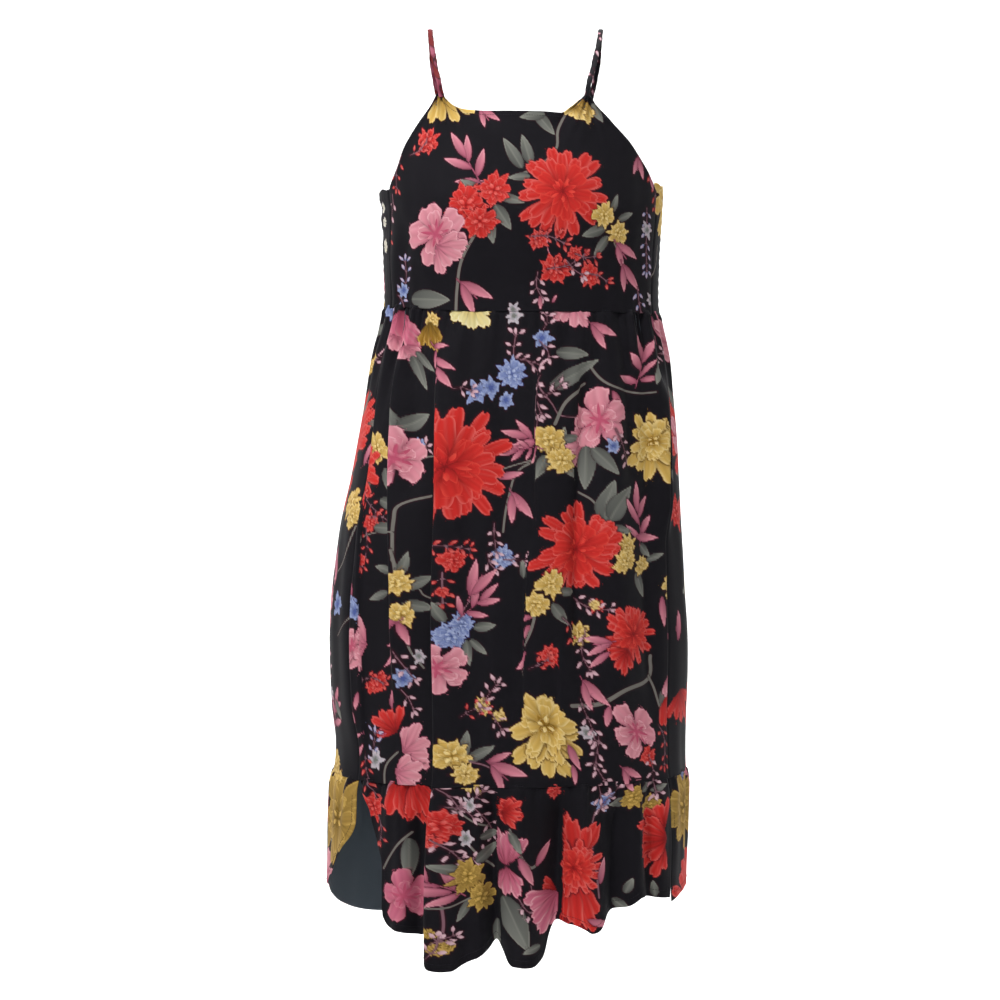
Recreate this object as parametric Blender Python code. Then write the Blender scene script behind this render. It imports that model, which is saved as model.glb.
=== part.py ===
"""Hollow sundress shell: gathered-corner front, shirred back, two rouleau straps, skirt and vented ruffle.

Millimetres in the tables, metres in the meshes. Z up, front towards -Y, origin midway between the strap tops.
Every panel is a wall of WALL thickness built from horizontal body rings plus folds.
"""

import math

import bpy

# ---- driving dimensions, mm
WALL = 1.5  # cloth wall
SEAM_GAP = 0.6  # space left between neighbouring pieces at a seam
RING_POWER = 2.3  # roundness of a body ring, 2 is an ellipse
STRAP_WIDTH = 7.0
STRAP_DEPTH = 3.6
STRAP_SIDES = 8
STRAP_STEPS = 26

# Body rings: height, middle x, half width, depth to the front, depth to the back
BODY_COLUMNS = ("z", "cx", "half", "front", "back")
BODY = (
    (-90, 5, 178, 97, 92),
    (-125, 6, 178, 102, 94),
    (-160, 8, 178, 110, 97),
    (-207, 9, 178, 120, 99),
    (-245, 10, 176, 126, 97),
    (-300, 8, 175, 118, 93),
    (-345, 8, 174, 109, 91),
    (-372, 8, 176, 108, 93),
    (-420, 7, 187, 114, 102),
    (-475, 5, 196, 121, 112),
    (-526, 3, 203, 127, 120),
    (-577, 0, 209, 132, 126),
    (-628, -4, 216, 137, 130),
    (-679, -6, 221, 141, 133),
    (-730, -8, 225, 144, 135),
    (-782, -8, 227, 147, 137),
    (-858, -8, 225, 149, 139),
    (-909, -6, 222, 150, 140),
    (-945, -7, 224, 151, 141),
    (-965, -8, 227, 153, 142),
    (-1011, -9, 227, 156, 144),
    (-1088, -11, 225, 160, 146),
    (-1200, -12, 224, 163, 148),
)

# Side seams: height, degrees that the left and right seams lie in front of the widest point
SEAM_COLUMNS = ("z", "left", "right")
SEAM = ((-200, 22, 22), (-372, 24, 24), (-577, 30, 30), (-950, 36, 31.5), (-1200, 37, 32))

# Neck edge of the front: x, z
NECK_COLUMNS = ("x", "z")
NECK = (
    (-97, -101),
    (-91, -100),
    (-84, -107),
    (-76, -114),
    (-62, -121),
    (-40, -124),
    (0, -125),
    (35, -126),
    (50, -127),
    (64, -119),
    (79, -108),
    (87, -103),
    (93, -104),
)

# Armhole edges of the front: share of the way from neck corner to waist, left x, right x
ARMHOLE_COLUMNS = ("share", "left", "right")
ARMHOLE = (
    (0.00, -97, 93),
    (0.03, -101, 97),
    (0.12, -118, 118),
    (0.23, -137, 145),
    (0.34, -148, 165),
    (0.42, -157, 175),
)

# Seam heights against the angle round the body, front is -90 and back is 90
ROUND_COLUMNS = ("angle", "waist", "ruffle", "hem")
ROUND = (
    (-180, -362, -944, -1090),
    (-155, -362, -946, -1100),
    (-135, -366, -948, -1124),
    (-122, -369, -948, -1146),
    (-112, -371, -948, -1162),
    (-104, -372, -948, -1158),
    (-96, -372, -949, -1146),
    (-88, -372, -949, -1158),
    (-80, -372, -949, -1154),
    (-70, -372, -948, -1134),
    (-58, -371, -948, -1128),
    (-45, -371, -947, -1108),
    (-30, -370, -946, -1096),
    (0, -369, -944, -1088),
    (35, -368, -946, -1120),
    (65, -368, -948, -1142),
    (90, -368, -948, -1151),
    (115, -367, -948, -1152),
    (145, -364, -946, -1143),
    (162, -363, -945, -1124),
    (180, -362, -944, -1092),
)

# Back top edge: angle, z
BACK_TOP = ((-30, -207), (10, -206), (60, -204), (120, -204), (170, -210), (210, -214))

# Vents in the ruffle: share of the way down, degrees each edge draws back (front left, back left, front right, back right)
VENT_COLUMNS = ("down", "front_left", "back_left", "front_right", "back_right")
VENT = (
    (0.00, 0.0, 0.0, 0.0, 0.0),
    (0.18, 7.0, 0.0, 0.0, 0.0),
    (0.37, 9.5, 0.0, 0.0, 0.0),
    (0.50, 12.5, 2.0, 0.0, 0.0),
    (0.65, 15.0, 7.0, 0.1, 0.1),
    (0.80, 15.0, 13.0, 0.2, 0.2),
    (0.92, 15.0, 17.0, 0.3, 0.3),
    (1.00, 15.5, 20.0, 0.6, 0.6),
)

# Hem of the front ruffle: x, z
HEM_COLUMNS = ("x", "z")
HEM_FRONT = (
    (-162, -1100),
    (-155, -1114),
    (-145, -1120),
    (-133, -1123),
    (-115, -1127),
    (-103, -1128),
    (-95, -1152),
    (-83, -1164),
    (-74, -1164.5),
    (-62, -1158),
    (-43, -1149),
    (-31, -1140),
    (-22, -1131),
    (-14, -1142),
    (-7, -1157),
    (0, -1161),
    (17, -1161),
    (29, -1156),
    (37, -1145),
    (47, -1115),
    (66, -1112),
    (92, -1122),
    (101, -1118),
    (108, -1105),
    (137, -1094),
    (149, -1085),
    (173, -1089),
    (190, -1091),
    (203, -1084),
)

# Folds of skirt and ruffle: side, top z, bottom z, x at top, middle and bottom, half width, height (minus is a trough),
# lean to the left
FOLD_COLUMNS = ("side", "top", "bottom", "x_top", "x_middle", "x_bottom", "width", "height", "lean")
FOLDS = (
    ("front", -366, -1260, -89, -88, -94, 22, 11, 0.66),  # long edge left of the middle
    ("front", -388, -870, -142, -143, -145, 18, 8, 0.60),
    ("front", -560, -940, -190, -194, -190, 15, 7, -0.50),
    ("front", -420, -660, 33, 32, 30, 17, 6, 0.50),
    ("front", -640, -900, 19, 18, 19, 18, 6, 0.50),
    ("front", -400, -830, 85, 79, 73, 14, -9, 0.20),  # soft dark band
    ("front", -395, -1000, 116, 122, 130, 24, 8, -0.20),
    ("front", -760, -960, 54, 54, 52, 14, 6, 0.30),
    ("front", -440, -900, 162, 166, 168, 13, -7, 0.00),
    ("front", -430, -660, 181, 184, 186, 13, 6, -0.40),
    ("front", -480, -940, -58, -61, -64, 18, -5, 0.00),
    ("front", -925, -1260, -84, -88, -92, 20, 8, 0.50),  # ruffle lobes
    ("front", -925, -1260, -62, -60, -58, 15, -6, 0.00),
    ("front", -925, -1260, -28, -25, -22, 13, -14, -0.20),
    ("front", -925, -1260, 4, 8, 12, 17, 10, 0.30),
    ("front", -925, -1260, 50, 52, 54, 15, -16, -0.30),
    ("front", -925, -1260, 84, 88, 92, 18, 10, 0.30),
    ("front", -925, -1260, 118, 120, 124, 13, -10, 0.00),
    ("front", -925, -1260, 142, 146, 150, 14, 8, 0.20),
    ("front", -925, -1260, -118, -119, -120, 12, -9, 0.00),
    ("front", -925, -1260, -136, -140, -146, 14, 9, 0.20),
    ("front", -925, -1260, 174, 178, 180, 13, 6, 0.20),
    ("back", -390, -1200, -128, -136, -142, 20, 9, 0.50),
    ("back", -420, -1200, -66, -74, -78, 18, -9, 0.10),
    ("back", -390, -1200, -18, -20, -20, 23, 10, -0.55),
    ("back", -430, -1200, 38, 42, 46, 16, -9, 0.10),
    ("back", -400, -1200, 88, 98, 104, 21, 9, 0.50),
    ("back", -480, -1200, 140, 148, 152, 15, -7, 0.00),
    ("back", -930, -1240, -106, -110, -112, 13, 7, 0.00),
    ("back", -930, -1240, 8, 10, 12, 14, -9, 0.00),
    ("back", -930, -1240, 66, 70, 72, 14, 8, 0.00),
)

# Small gathers: z where fullest, reach in z, number round the half, height
GATHER_COLUMNS = ("z", "reach", "waves", "height")
WAIST_GATHER = (-385, 46, 17, 1.5)
RUFFLE_GATHER = (-962, 52, 15, 2.4)
SHIRR_WAVES = 13
SHIRR_HEIGHT = 1.1

# Straps, left one as (x, y, z); the right one is the mirror about x = 0 with its own shift
STRAP_COLUMNS = ("x", "y", "z")
STRAP_PATH = {
    "left": (
        (-92.5, -89.0, -98.6),
        (-95.0, -82.0, -84.0),
        (-99.0, -66.0, -67.0),
        (-105.0, -38.0, -30.0),
        (-108.0, -8.0, -5.5),
        (-108.6, 20.0, -7.0),
        (-106.3, 52.0, -42.0),
        (-96.5, 76.0, -96.0),
        (-93.0, 86.0, -150.0),
        (-92.0, 88.0, -203.2),
    ),
    "right": (
        (88.5, -89.5, -102.0),
        (91.0, -82.0, -86.0),
        (96.5, -66.0, -66.0),
        (104.5, -38.0, -30.0),
        (109.0, -8.0, -5.5),
        (109.5, 20.0, -7.0),
        (107.3, 52.0, -42.0),
        (96.7, 76.0, -96.0),
        (94.0, 86.0, -150.0),
        (93.0, 88.0, -202.2),
    ),
}

# Panels: columns across, rows down
GRID_COLUMNS = ("across", "down")
GRID = {
    "bodice_front": (28, 12),
    "bodice_back": (40, 6),
    "skirt_front": (38, 10),
    "skirt_back": (38, 10),
    "ruffle_front": (56, 6),
    "ruffle_back": (42, 6),
}

COLOURS = {"rayon": (0.012, 0.012, 0.018, 1.0), "rouleau": (0.16, 0.015, 0.02, 1.0)}


def table(rows, key, column):
    """Smooth reading of a table: rows sorted either way by their first column."""
    if rows[0][0] > rows[-1][0]:
        rows = rows[::-1]
    if key <= rows[0][0]:
        return rows[0][column]
    if key >= rows[-1][0]:
        return rows[-1][column]
    for low, high in zip(rows, rows[1:]):
        if key <= high[0]:
            share = (key - low[0]) / (high[0] - low[0])
            return low[column] + (high[column] - low[column]) * share
    return rows[-1][column]


def wrapped(angle):
    return (angle + 180.0) % 360.0 - 180.0


def round_table(angle, column):
    return table(ROUND, wrapped(angle), column)


def signed_power(value, power):
    return math.copysign(abs(value) ** power, value)


def fold_height(x, front, side_share, z):
    """Sum of the folds at a ring point. side_share is 0 at the widest point and 1 at the middle."""
    total = 0.0
    want = "front" if front else "back"
    for side, top, bottom, x_top, x_middle, x_bottom, width, height, lean in FOLDS:
        if side != want or z > top or z < bottom:
            continue
        run = (top - z) / (top - bottom)
        if run < 0.5:
            middle = x_top + (x_middle - x_top) * run * 2
        else:
            middle = x_middle + (x_bottom - x_middle) * (run * 2 - 1)
        lead = min(1.0, run / 0.22)
        tail = min(1.0, (1.0 - run) / 0.15) if bottom > -1150 else 1.0
        ease = (lead * lead * (3 - 2 * lead)) * (tail * tail * (3 - 2 * tail))
        offset = x - middle
        reach = width * (1 - lean if offset < 0 else 1 + lean)
        total += height * ease * math.exp(-((offset / reach) ** 2))
    return total * min(1.0, side_share * 2.2)


def gather_height(angle, z, spec):
    middle, reach, waves, height = spec
    fall = math.exp(-(((z - middle) / reach) ** 2))
    turn = math.radians(angle)
    return (
        height
        * fall
        * (math.sin(2 * waves * turn + 1.3 * math.sin(3 * turn)) + 0.4 * math.sin(2.7 * waves * turn))
    )


def ring_point(angle, z, outward):
    """Point of the cloth at an angle round the body and a height, moved outward by a distance."""
    c, s = math.cos(math.radians(angle)), math.sin(math.radians(angle))
    half, middle = table(BODY, z, 2), table(BODY, z, 1)
    depth = table(BODY, z, 3) if s < 0 else table(BODY, z, 4)
    power = 2.0 / RING_POWER
    x = half * signed_power(c, power)
    y = depth * signed_power(s, power)
    # outward normal of the ring in plan
    nx = signed_power(x / half, RING_POWER - 1) / half
    ny = signed_power(y / depth, RING_POWER - 1) / depth
    length = math.hypot(nx, ny) or 1.0
    nx, ny = nx / length, ny / length
    raised = outward
    if z < -340:
        raised += fold_height(x + middle, s < 0, abs(s), z)
    return [middle + x + nx * raised, y + ny * raised, z]


def front_angle(x, z):
    """Angle on the front of the ring at height z whose x is given."""
    share = (x - table(BODY, z, 1)) / table(BODY, z, 2)
    share = max(-1.0, min(1.0, share))
    return -math.degrees(math.acos(signed_power(share, RING_POWER / 2.0)))


def seam_angles(z):
    """Angles of the left and right side seams."""
    return -180.0 + table(SEAM, z, 1), -table(SEAM, z, 2)


def gap_angle(z):
    return math.degrees(SEAM_GAP / 2.0 / 120.0)


def bodice_front(u, v):
    corner = -101.0
    z_edge = corner + v * (-366.0 - corner)
    z_seam = table(ROUND, -180 + 22 + u * 136, 1) + SEAM_GAP / 2
    left_seam, right_seam = seam_angles(z_edge)
    gap = gap_angle(z_edge)
    if v <= ARMHOLE[-1][0]:
        left, right = table(ARMHOLE, v, 1), table(ARMHOLE, v, 2)
        a0, a1 = front_angle(left, z_edge), front_angle(right, z_edge)
        a0, a1 = max(a0, left_seam), min(a1, right_seam)
    else:
        a0, a1 = left_seam, right_seam
    angle = (a0 + gap) + (a1 - a0 - 2 * gap) * u
    across = -97 + 190 * u
    z_top = table(NECK, across, 1)
    z = z_top + v * (z_seam - z_top)
    # gathers that fan down from the two neck corners
    near = min(abs(u - 0.10), abs(u - 0.90))
    fan = math.exp(-((near / 0.13) ** 2)) * math.exp(-v / 0.10)
    lift = 1.2 * fan * math.sin(u * 2 * math.pi * 17)
    # soft slack over the bust
    lift += 2.0 * math.exp(-(((u - 0.22) / 0.10) ** 2) - (((v - 0.5) / 0.3) ** 2))
    lift += 2.0 * math.exp(-(((u - 0.78) / 0.10) ** 2) - (((v - 0.5) / 0.3) ** 2))
    return angle, z, lift


def bodice_back(u, v):
    gap = gap_angle(0)
    angle = -24.0 + 228.0 * u
    top = table(BACK_TOP, angle, 1)
    bottom = round_table(angle, 1) + SEAM_GAP / 2
    z = top + v * (bottom - top)
    left_seam, right_seam = seam_angles(z)
    start, end = right_seam + gap, 360.0 + left_seam - gap
    angle = start + (end - start) * u
    lift = SHIRR_HEIGHT * math.sin(u * 2 * math.pi * SHIRR_WAVES) * (1.0 if v > 0 else 1.4)
    lift += 5.0 * math.exp(-(((u - 0.96) / 0.05) ** 2) - ((v / 0.28) ** 2))
    return angle, z, lift * min(1.0, u * 12, (1 - u) * 12)


def skirt(u, v, front):
    z_mid = -372 + v * -576
    left_seam, right_seam = seam_angles(z_mid)
    gap = gap_angle(0)
    if front:
        start, end = left_seam + gap, right_seam - gap
    else:
        start, end = right_seam + gap, 360.0 + left_seam - gap
    angle = start + (end - start) * u
    top = round_table(angle, 1) - SEAM_GAP / 2
    bottom = round_table(angle, 2) + SEAM_GAP / 2
    z = top + v * (bottom - top)
    lift = gather_height(angle, z, WAIST_GATHER) * min(1.0, v / 0.04, u * 12, (1 - u) * 12)
    return angle, z, lift


def ruffle(u, v, front):
    left_seam, right_seam = seam_angles(-950)
    gap = gap_angle(0)
    if front:
        start = left_seam + gap + table(VENT, v, 1)
        end = right_seam - gap - table(VENT, v, 3)
    else:
        start = right_seam + gap + table(VENT, v, 4)
        end = 360.0 + left_seam - gap - table(VENT, v, 2)
    angle = start + (end - start) * u
    top = round_table(angle, 2) - SEAM_GAP / 2
    if front:
        bottom = table(HEM_FRONT, -10 + 225 * signed_power(math.cos(math.radians(angle)), 2.0 / RING_POWER), 1)
    else:
        bottom = round_table(angle, 3)
        bottom += 24.0 * math.exp(-(((1 - u) / 0.035) ** 2))
    z = top + v * (bottom - top)
    lift = gather_height(angle, z, RUFFLE_GATHER) * min(1.0, v / 0.06)
    lift += 3.0 * v
    return angle, z, lift


def skirt_front(u, v):
    return skirt(u, v, True)


def skirt_back(u, v):
    return skirt(u, v, False)


def ruffle_front(u, v):
    return ruffle(u, v, True)


def ruffle_back(u, v):
    return ruffle(u, v, False)


def normals_of(points, across, down):
    """Grid normals that face outward."""
    result = []
    for j in range(down + 1):
        for i in range(across + 1):
            a = points[j * (across + 1) + max(i - 1, 0)]
            b = points[j * (across + 1) + min(i + 1, across)]
            c = points[max(j - 1, 0) * (across + 1) + i]
            d = points[min(j + 1, down) * (across + 1) + i]
            along = [b[k] - a[k] for k in range(3)]
            below = [d[k] - c[k] for k in range(3)]
            n = [
                below[1] * along[2] - below[2] * along[1],
                below[2] * along[0] - below[0] * along[2],
                below[0] * along[1] - below[1] * along[0],
            ]
            size = math.sqrt(sum(k * k for k in n)) or 1.0
            result.append([k / size for k in n])
    return result


def material(name):
    found = bpy.data.materials.get(name)
    if found:
        return found
    made = bpy.data.materials.new(name)
    made.use_nodes = True
    shader = made.node_tree.nodes["Principled BSDF"]
    shader.inputs["Base Color"].default_value = COLOURS[name]
    shader.inputs["Roughness"].default_value = 0.85
    return made


def add_object(name, vertices, faces, slot):
    mesh = bpy.data.meshes.new(name)
    mesh.from_pydata([[k / 1000.0 for k in p] for p in vertices], [], faces)
    mesh.update()
    for polygon in mesh.polygons:
        polygon.use_smooth = True
    own = material(slot).copy()
    own.name = name + "_" + slot
    mesh.materials.append(own)
    made = bpy.data.objects.new(name, mesh)
    bpy.context.scene.collection.objects.link(made)
    return made


def add_panel(name, shape):
    across, down = GRID[name]
    middle = []
    for j in range(down + 1):
        for i in range(across + 1):
            angle, z, lift = shape(i / across, j / down)
            middle.append(ring_point(angle, z, lift))
    normals = normals_of(middle, across, down)
    half = WALL / 2
    outer = [[p[k] + n[k] * half for k in range(3)] for p, n in zip(middle, normals)]
    inner = [[p[k] - n[k] * half for k in range(3)] for p, n in zip(middle, normals)]
    count, row = len(middle), across + 1
    faces = []
    for j in range(down):
        for i in range(across):
            a, b = j * row + i, j * row + i + 1
            c, d = (j + 1) * row + i, (j + 1) * row + i + 1
            if (i + j) % 2:
                faces += [(a, c, b), (b, c, d)]
                faces += [(count + a, count + b, count + c), (count + b, count + d, count + c)]
            else:
                faces += [(a, c, d), (a, d, b)]
                faces += [(count + a, count + d, count + c), (count + a, count + b, count + d)]
    rim = [i for i in range(across)]
    rim += [j * row + across for j in range(down)]
    rim += [down * row + i for i in range(across, 0, -1)]
    rim += [j * row for j in range(down, 0, -1)]
    for k, a in enumerate(rim):
        b = rim[(k + 1) % len(rim)]
        faces += [(a, b, count + b), (a, count + b, count + a)]
    return add_object(name, outer + inner, faces, "rayon")


def spline(points, share):
    """Catmull-Rom through the points."""
    n = len(points) - 1
    place = min(n - 1e-9, max(0.0, share * n))
    i = int(place)
    t = place - i
    p0, p1 = points[max(i - 1, 0)], points[i]
    p2, p3 = points[i + 1], points[min(i + 2, n)]
    return [
        0.5
        * (
            2 * p1[k]
            + (p2[k] - p0[k]) * t
            + (2 * p0[k] - 5 * p1[k] + 4 * p2[k] - p3[k]) * t * t
            + (3 * p1[k] - p0[k] - 3 * p2[k] + p3[k]) * t * t * t
        )
        for k in range(3)
    ]


def add_strap(name, path):
    """Flattened solid tube; its wide side keeps to x."""
    vertices = []
    for j in range(STRAP_STEPS + 1):
        here = spline(path, j / STRAP_STEPS)
        ahead = spline(path, min(1.0, j / STRAP_STEPS + 0.01))
        behind = spline(path, max(0.0, j / STRAP_STEPS - 0.01))
        d = [ahead[k] - behind[k] for k in range(3)]
        size = math.sqrt(sum(k * k for k in d))
        d = [k / size for k in d]
        # wide axis: x made square to the path
        w = [1 - d[0] * d[0], -d[0] * d[1], -d[0] * d[2]]
        size = math.sqrt(sum(k * k for k in w))
        w = [k / size for k in w]
        h = [d[1] * w[2] - d[2] * w[1], d[2] * w[0] - d[0] * w[2], d[0] * w[1] - d[1] * w[0]]
        for i in range(STRAP_SIDES):
            turn = 2 * math.pi * i / STRAP_SIDES
            a, b = math.cos(turn) * STRAP_WIDTH / 2, math.sin(turn) * STRAP_DEPTH / 2
            vertices.append([here[k] + w[k] * a + h[k] * b for k in range(3)])
    faces = []
    for j in range(STRAP_STEPS):
        for i in range(STRAP_SIDES):
            a, b = j * STRAP_SIDES + i, j * STRAP_SIDES + (i + 1) % STRAP_SIDES
            c, d = a + STRAP_SIDES, b + STRAP_SIDES
            faces += [(a, b, d), (a, d, c)]
    first, last = len(vertices), len(vertices) + 1
    vertices += [spline(path, 0.0), spline(path, 1.0)]
    end = STRAP_STEPS * STRAP_SIDES
    for i in range(STRAP_SIDES):
        faces.append((first, (i + 1) % STRAP_SIDES, i))
        faces.append((last, end + i, end + (i + 1) % STRAP_SIDES))
    return add_object(name, vertices, faces, "rouleau")


def main():
    for old in list(bpy.data.objects):
        bpy.data.objects.remove(old, do_unlink=True)
    add_panel("bodice_front", bodice_front)
    add_panel("bodice_back", bodice_back)
    add_panel("skirt_front", skirt_front)
    add_panel("skirt_back", skirt_back)
    add_panel("ruffle_front", ruffle_front)
    add_panel("ruffle_back", ruffle_back)
    for side, path in STRAP_PATH.items():
        add_strap("strap_" + side, path)


main()
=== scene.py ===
"""Printed rayon sundress, filled out and hollow: cloth panels with folds, gathers, shirring and a floral print.

Tables are in millimetres, meshes in metres. Z up, front towards -Y.
"""

import math

import bpy
import numpy as np
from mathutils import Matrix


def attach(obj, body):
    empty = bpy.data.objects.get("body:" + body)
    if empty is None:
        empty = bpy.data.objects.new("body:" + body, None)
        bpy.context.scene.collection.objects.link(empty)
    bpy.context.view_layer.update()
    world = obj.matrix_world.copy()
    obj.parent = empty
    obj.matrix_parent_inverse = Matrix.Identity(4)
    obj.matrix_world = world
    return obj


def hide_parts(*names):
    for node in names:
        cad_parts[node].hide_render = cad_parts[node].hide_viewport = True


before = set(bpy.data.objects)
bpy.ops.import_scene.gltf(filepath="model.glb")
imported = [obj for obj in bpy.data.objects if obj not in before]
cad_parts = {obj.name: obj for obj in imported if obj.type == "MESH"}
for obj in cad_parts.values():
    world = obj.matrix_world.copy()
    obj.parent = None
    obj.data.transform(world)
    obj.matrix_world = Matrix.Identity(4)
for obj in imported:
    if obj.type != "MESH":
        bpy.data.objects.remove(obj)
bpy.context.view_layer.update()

# ------------------------------------------------------------------ camera
EYE = (-19.2, -2600.0, -602.7)  # mm
MM_PER_PX = 1.277  # in the plane y = 0
LENS = 73.3

# ------------------------------------------------------------------ garment tables
CLOTH = 0.9
RING_POWER = 2.3

# z, middle x, half width, depth to the front, depth to the back
BODY = (
    (-90, 5, 178, 97, 92),
    (-125, 6, 178, 102, 94),
    (-160, 8, 178, 110, 97),
    (-207, 9, 178, 120, 99),
    (-245, 10, 176, 126, 97),
    (-300, 8, 175, 118, 93),
    (-345, 8, 174, 109, 91),
    (-372, 8, 176, 108, 93),
    (-420, 7, 187, 114, 102),
    (-475, 5, 196, 121, 112),
    (-526, 3, 203, 127, 120),
    (-577, 0, 209, 132, 126),
    (-628, -4, 216, 137, 130),
    (-679, -6, 221, 141, 133),
    (-730, -8, 225, 144, 135),
    (-782, -8, 227, 147, 137),
    (-858, -8, 225, 149, 139),
    (-909, -6, 222, 150, 140),
    (-945, -7, 224, 151, 141),
    (-965, -8, 227, 153, 142),
    (-1011, -9, 227, 156, 144),
    (-1088, -11, 225, 160, 146),
    (-1200, -12, 224, 163, 148),
)
# z, degrees that the left and right side seams lie ahead of the widest point
SEAM = ((-200, 22, 22), (-372, 24, 24), (-577, 30, 30), (-950, 36, 31.5), (-1200, 37, 32))
# x, z of the front's neck edge
NECK = (
    (-97, -101),
    (-91, -100),
    (-84, -107),
    (-76, -114),
    (-62, -121),
    (-40, -124),
    (0, -125),
    (35, -126),
    (50, -127),
    (64, -119),
    (79, -108),
    (87, -103),
    (93, -104),
)
# share of the way from neck corner to waist, left x, right x
ARMHOLE = (
    (0.00, -97, 93),
    (0.03, -101, 97),
    (0.12, -118, 118),
    (0.23, -137, 145),
    (0.34, -148, 165),
    (0.42, -157, 175),
)
# angle round the body (front -90), heights of waist seam, ruffle seam and hem
ROUND = (
    (-180, -362, -944, -1090),
    (-155, -362, -946, -1100),
    (-135, -366, -948, -1124),
    (-122, -369, -948, -1146),
    (-112, -371, -948, -1162),
    (-104, -372, -948, -1158),
    (-96, -372, -949, -1146),
    (-88, -372, -949, -1158),
    (-80, -372, -949, -1154),
    (-70, -372, -948, -1134),
    (-58, -371, -948, -1128),
    (-45, -371, -947, -1108),
    (-30, -370, -946, -1096),
    (0, -369, -944, -1088),
    (35, -368, -946, -1120),
    (65, -368, -948, -1142),
    (90, -368, -948, -1151),
    (115, -367, -948, -1152),
    (145, -364, -946, -1143),
    (162, -363, -945, -1124),
    (180, -362, -944, -1092),
)
BACK_TOP = ((-30, -207), (10, -206), (60, -204), (120, -204), (170, -210), (210, -214))
# share of the way down the ruffle, degrees that each vent edge draws back: front left, back left, front right, back right
VENT = (
    (0.00, 0.0, 0.0, 0.0, 0.0),
    (0.18, 7.0, 0.0, 0.0, 0.0),
    (0.37, 9.5, 0.0, 0.0, 0.0),
    (0.50, 12.5, 2.0, 0.0, 0.0),
    (0.65, 15.0, 7.0, 0.1, 0.1),
    (0.80, 15.0, 13.0, 0.2, 0.2),
    (0.92, 15.0, 17.0, 0.3, 0.3),
    (1.00, 15.5, 20.0, 0.6, 0.6),
)
# x, z of the front hem
HEM_FRONT = (
    (-162, -1100),
    (-155, -1114),
    (-145, -1120),
    (-133, -1123),
    (-115, -1127),
    (-103, -1128),
    (-98.5, -1141),
    (-95, -1152),
    (-90, -1160),
    (-83, -1164),
    (-74, -1164.5),
    (-62, -1158),
    (-52, -1153),
    (-43, -1149),
    (-31, -1140),
    (-22, -1131),
    (-14, -1142),
    (-7, -1157),
    (0, -1161),
    (17, -1161),
    (29, -1156),
    (37, -1145),
    (42, -1127),
    (47, -1115),
    (66, -1112),
    (83, -1118),
    (92, -1122),
    (101, -1118),
    (108, -1105),
    (118, -1099),
    (137, -1094),
    (149, -1085),
    (161, -1086),
    (173, -1089),
    (190, -1091),
    (203, -1084),
)
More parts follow.
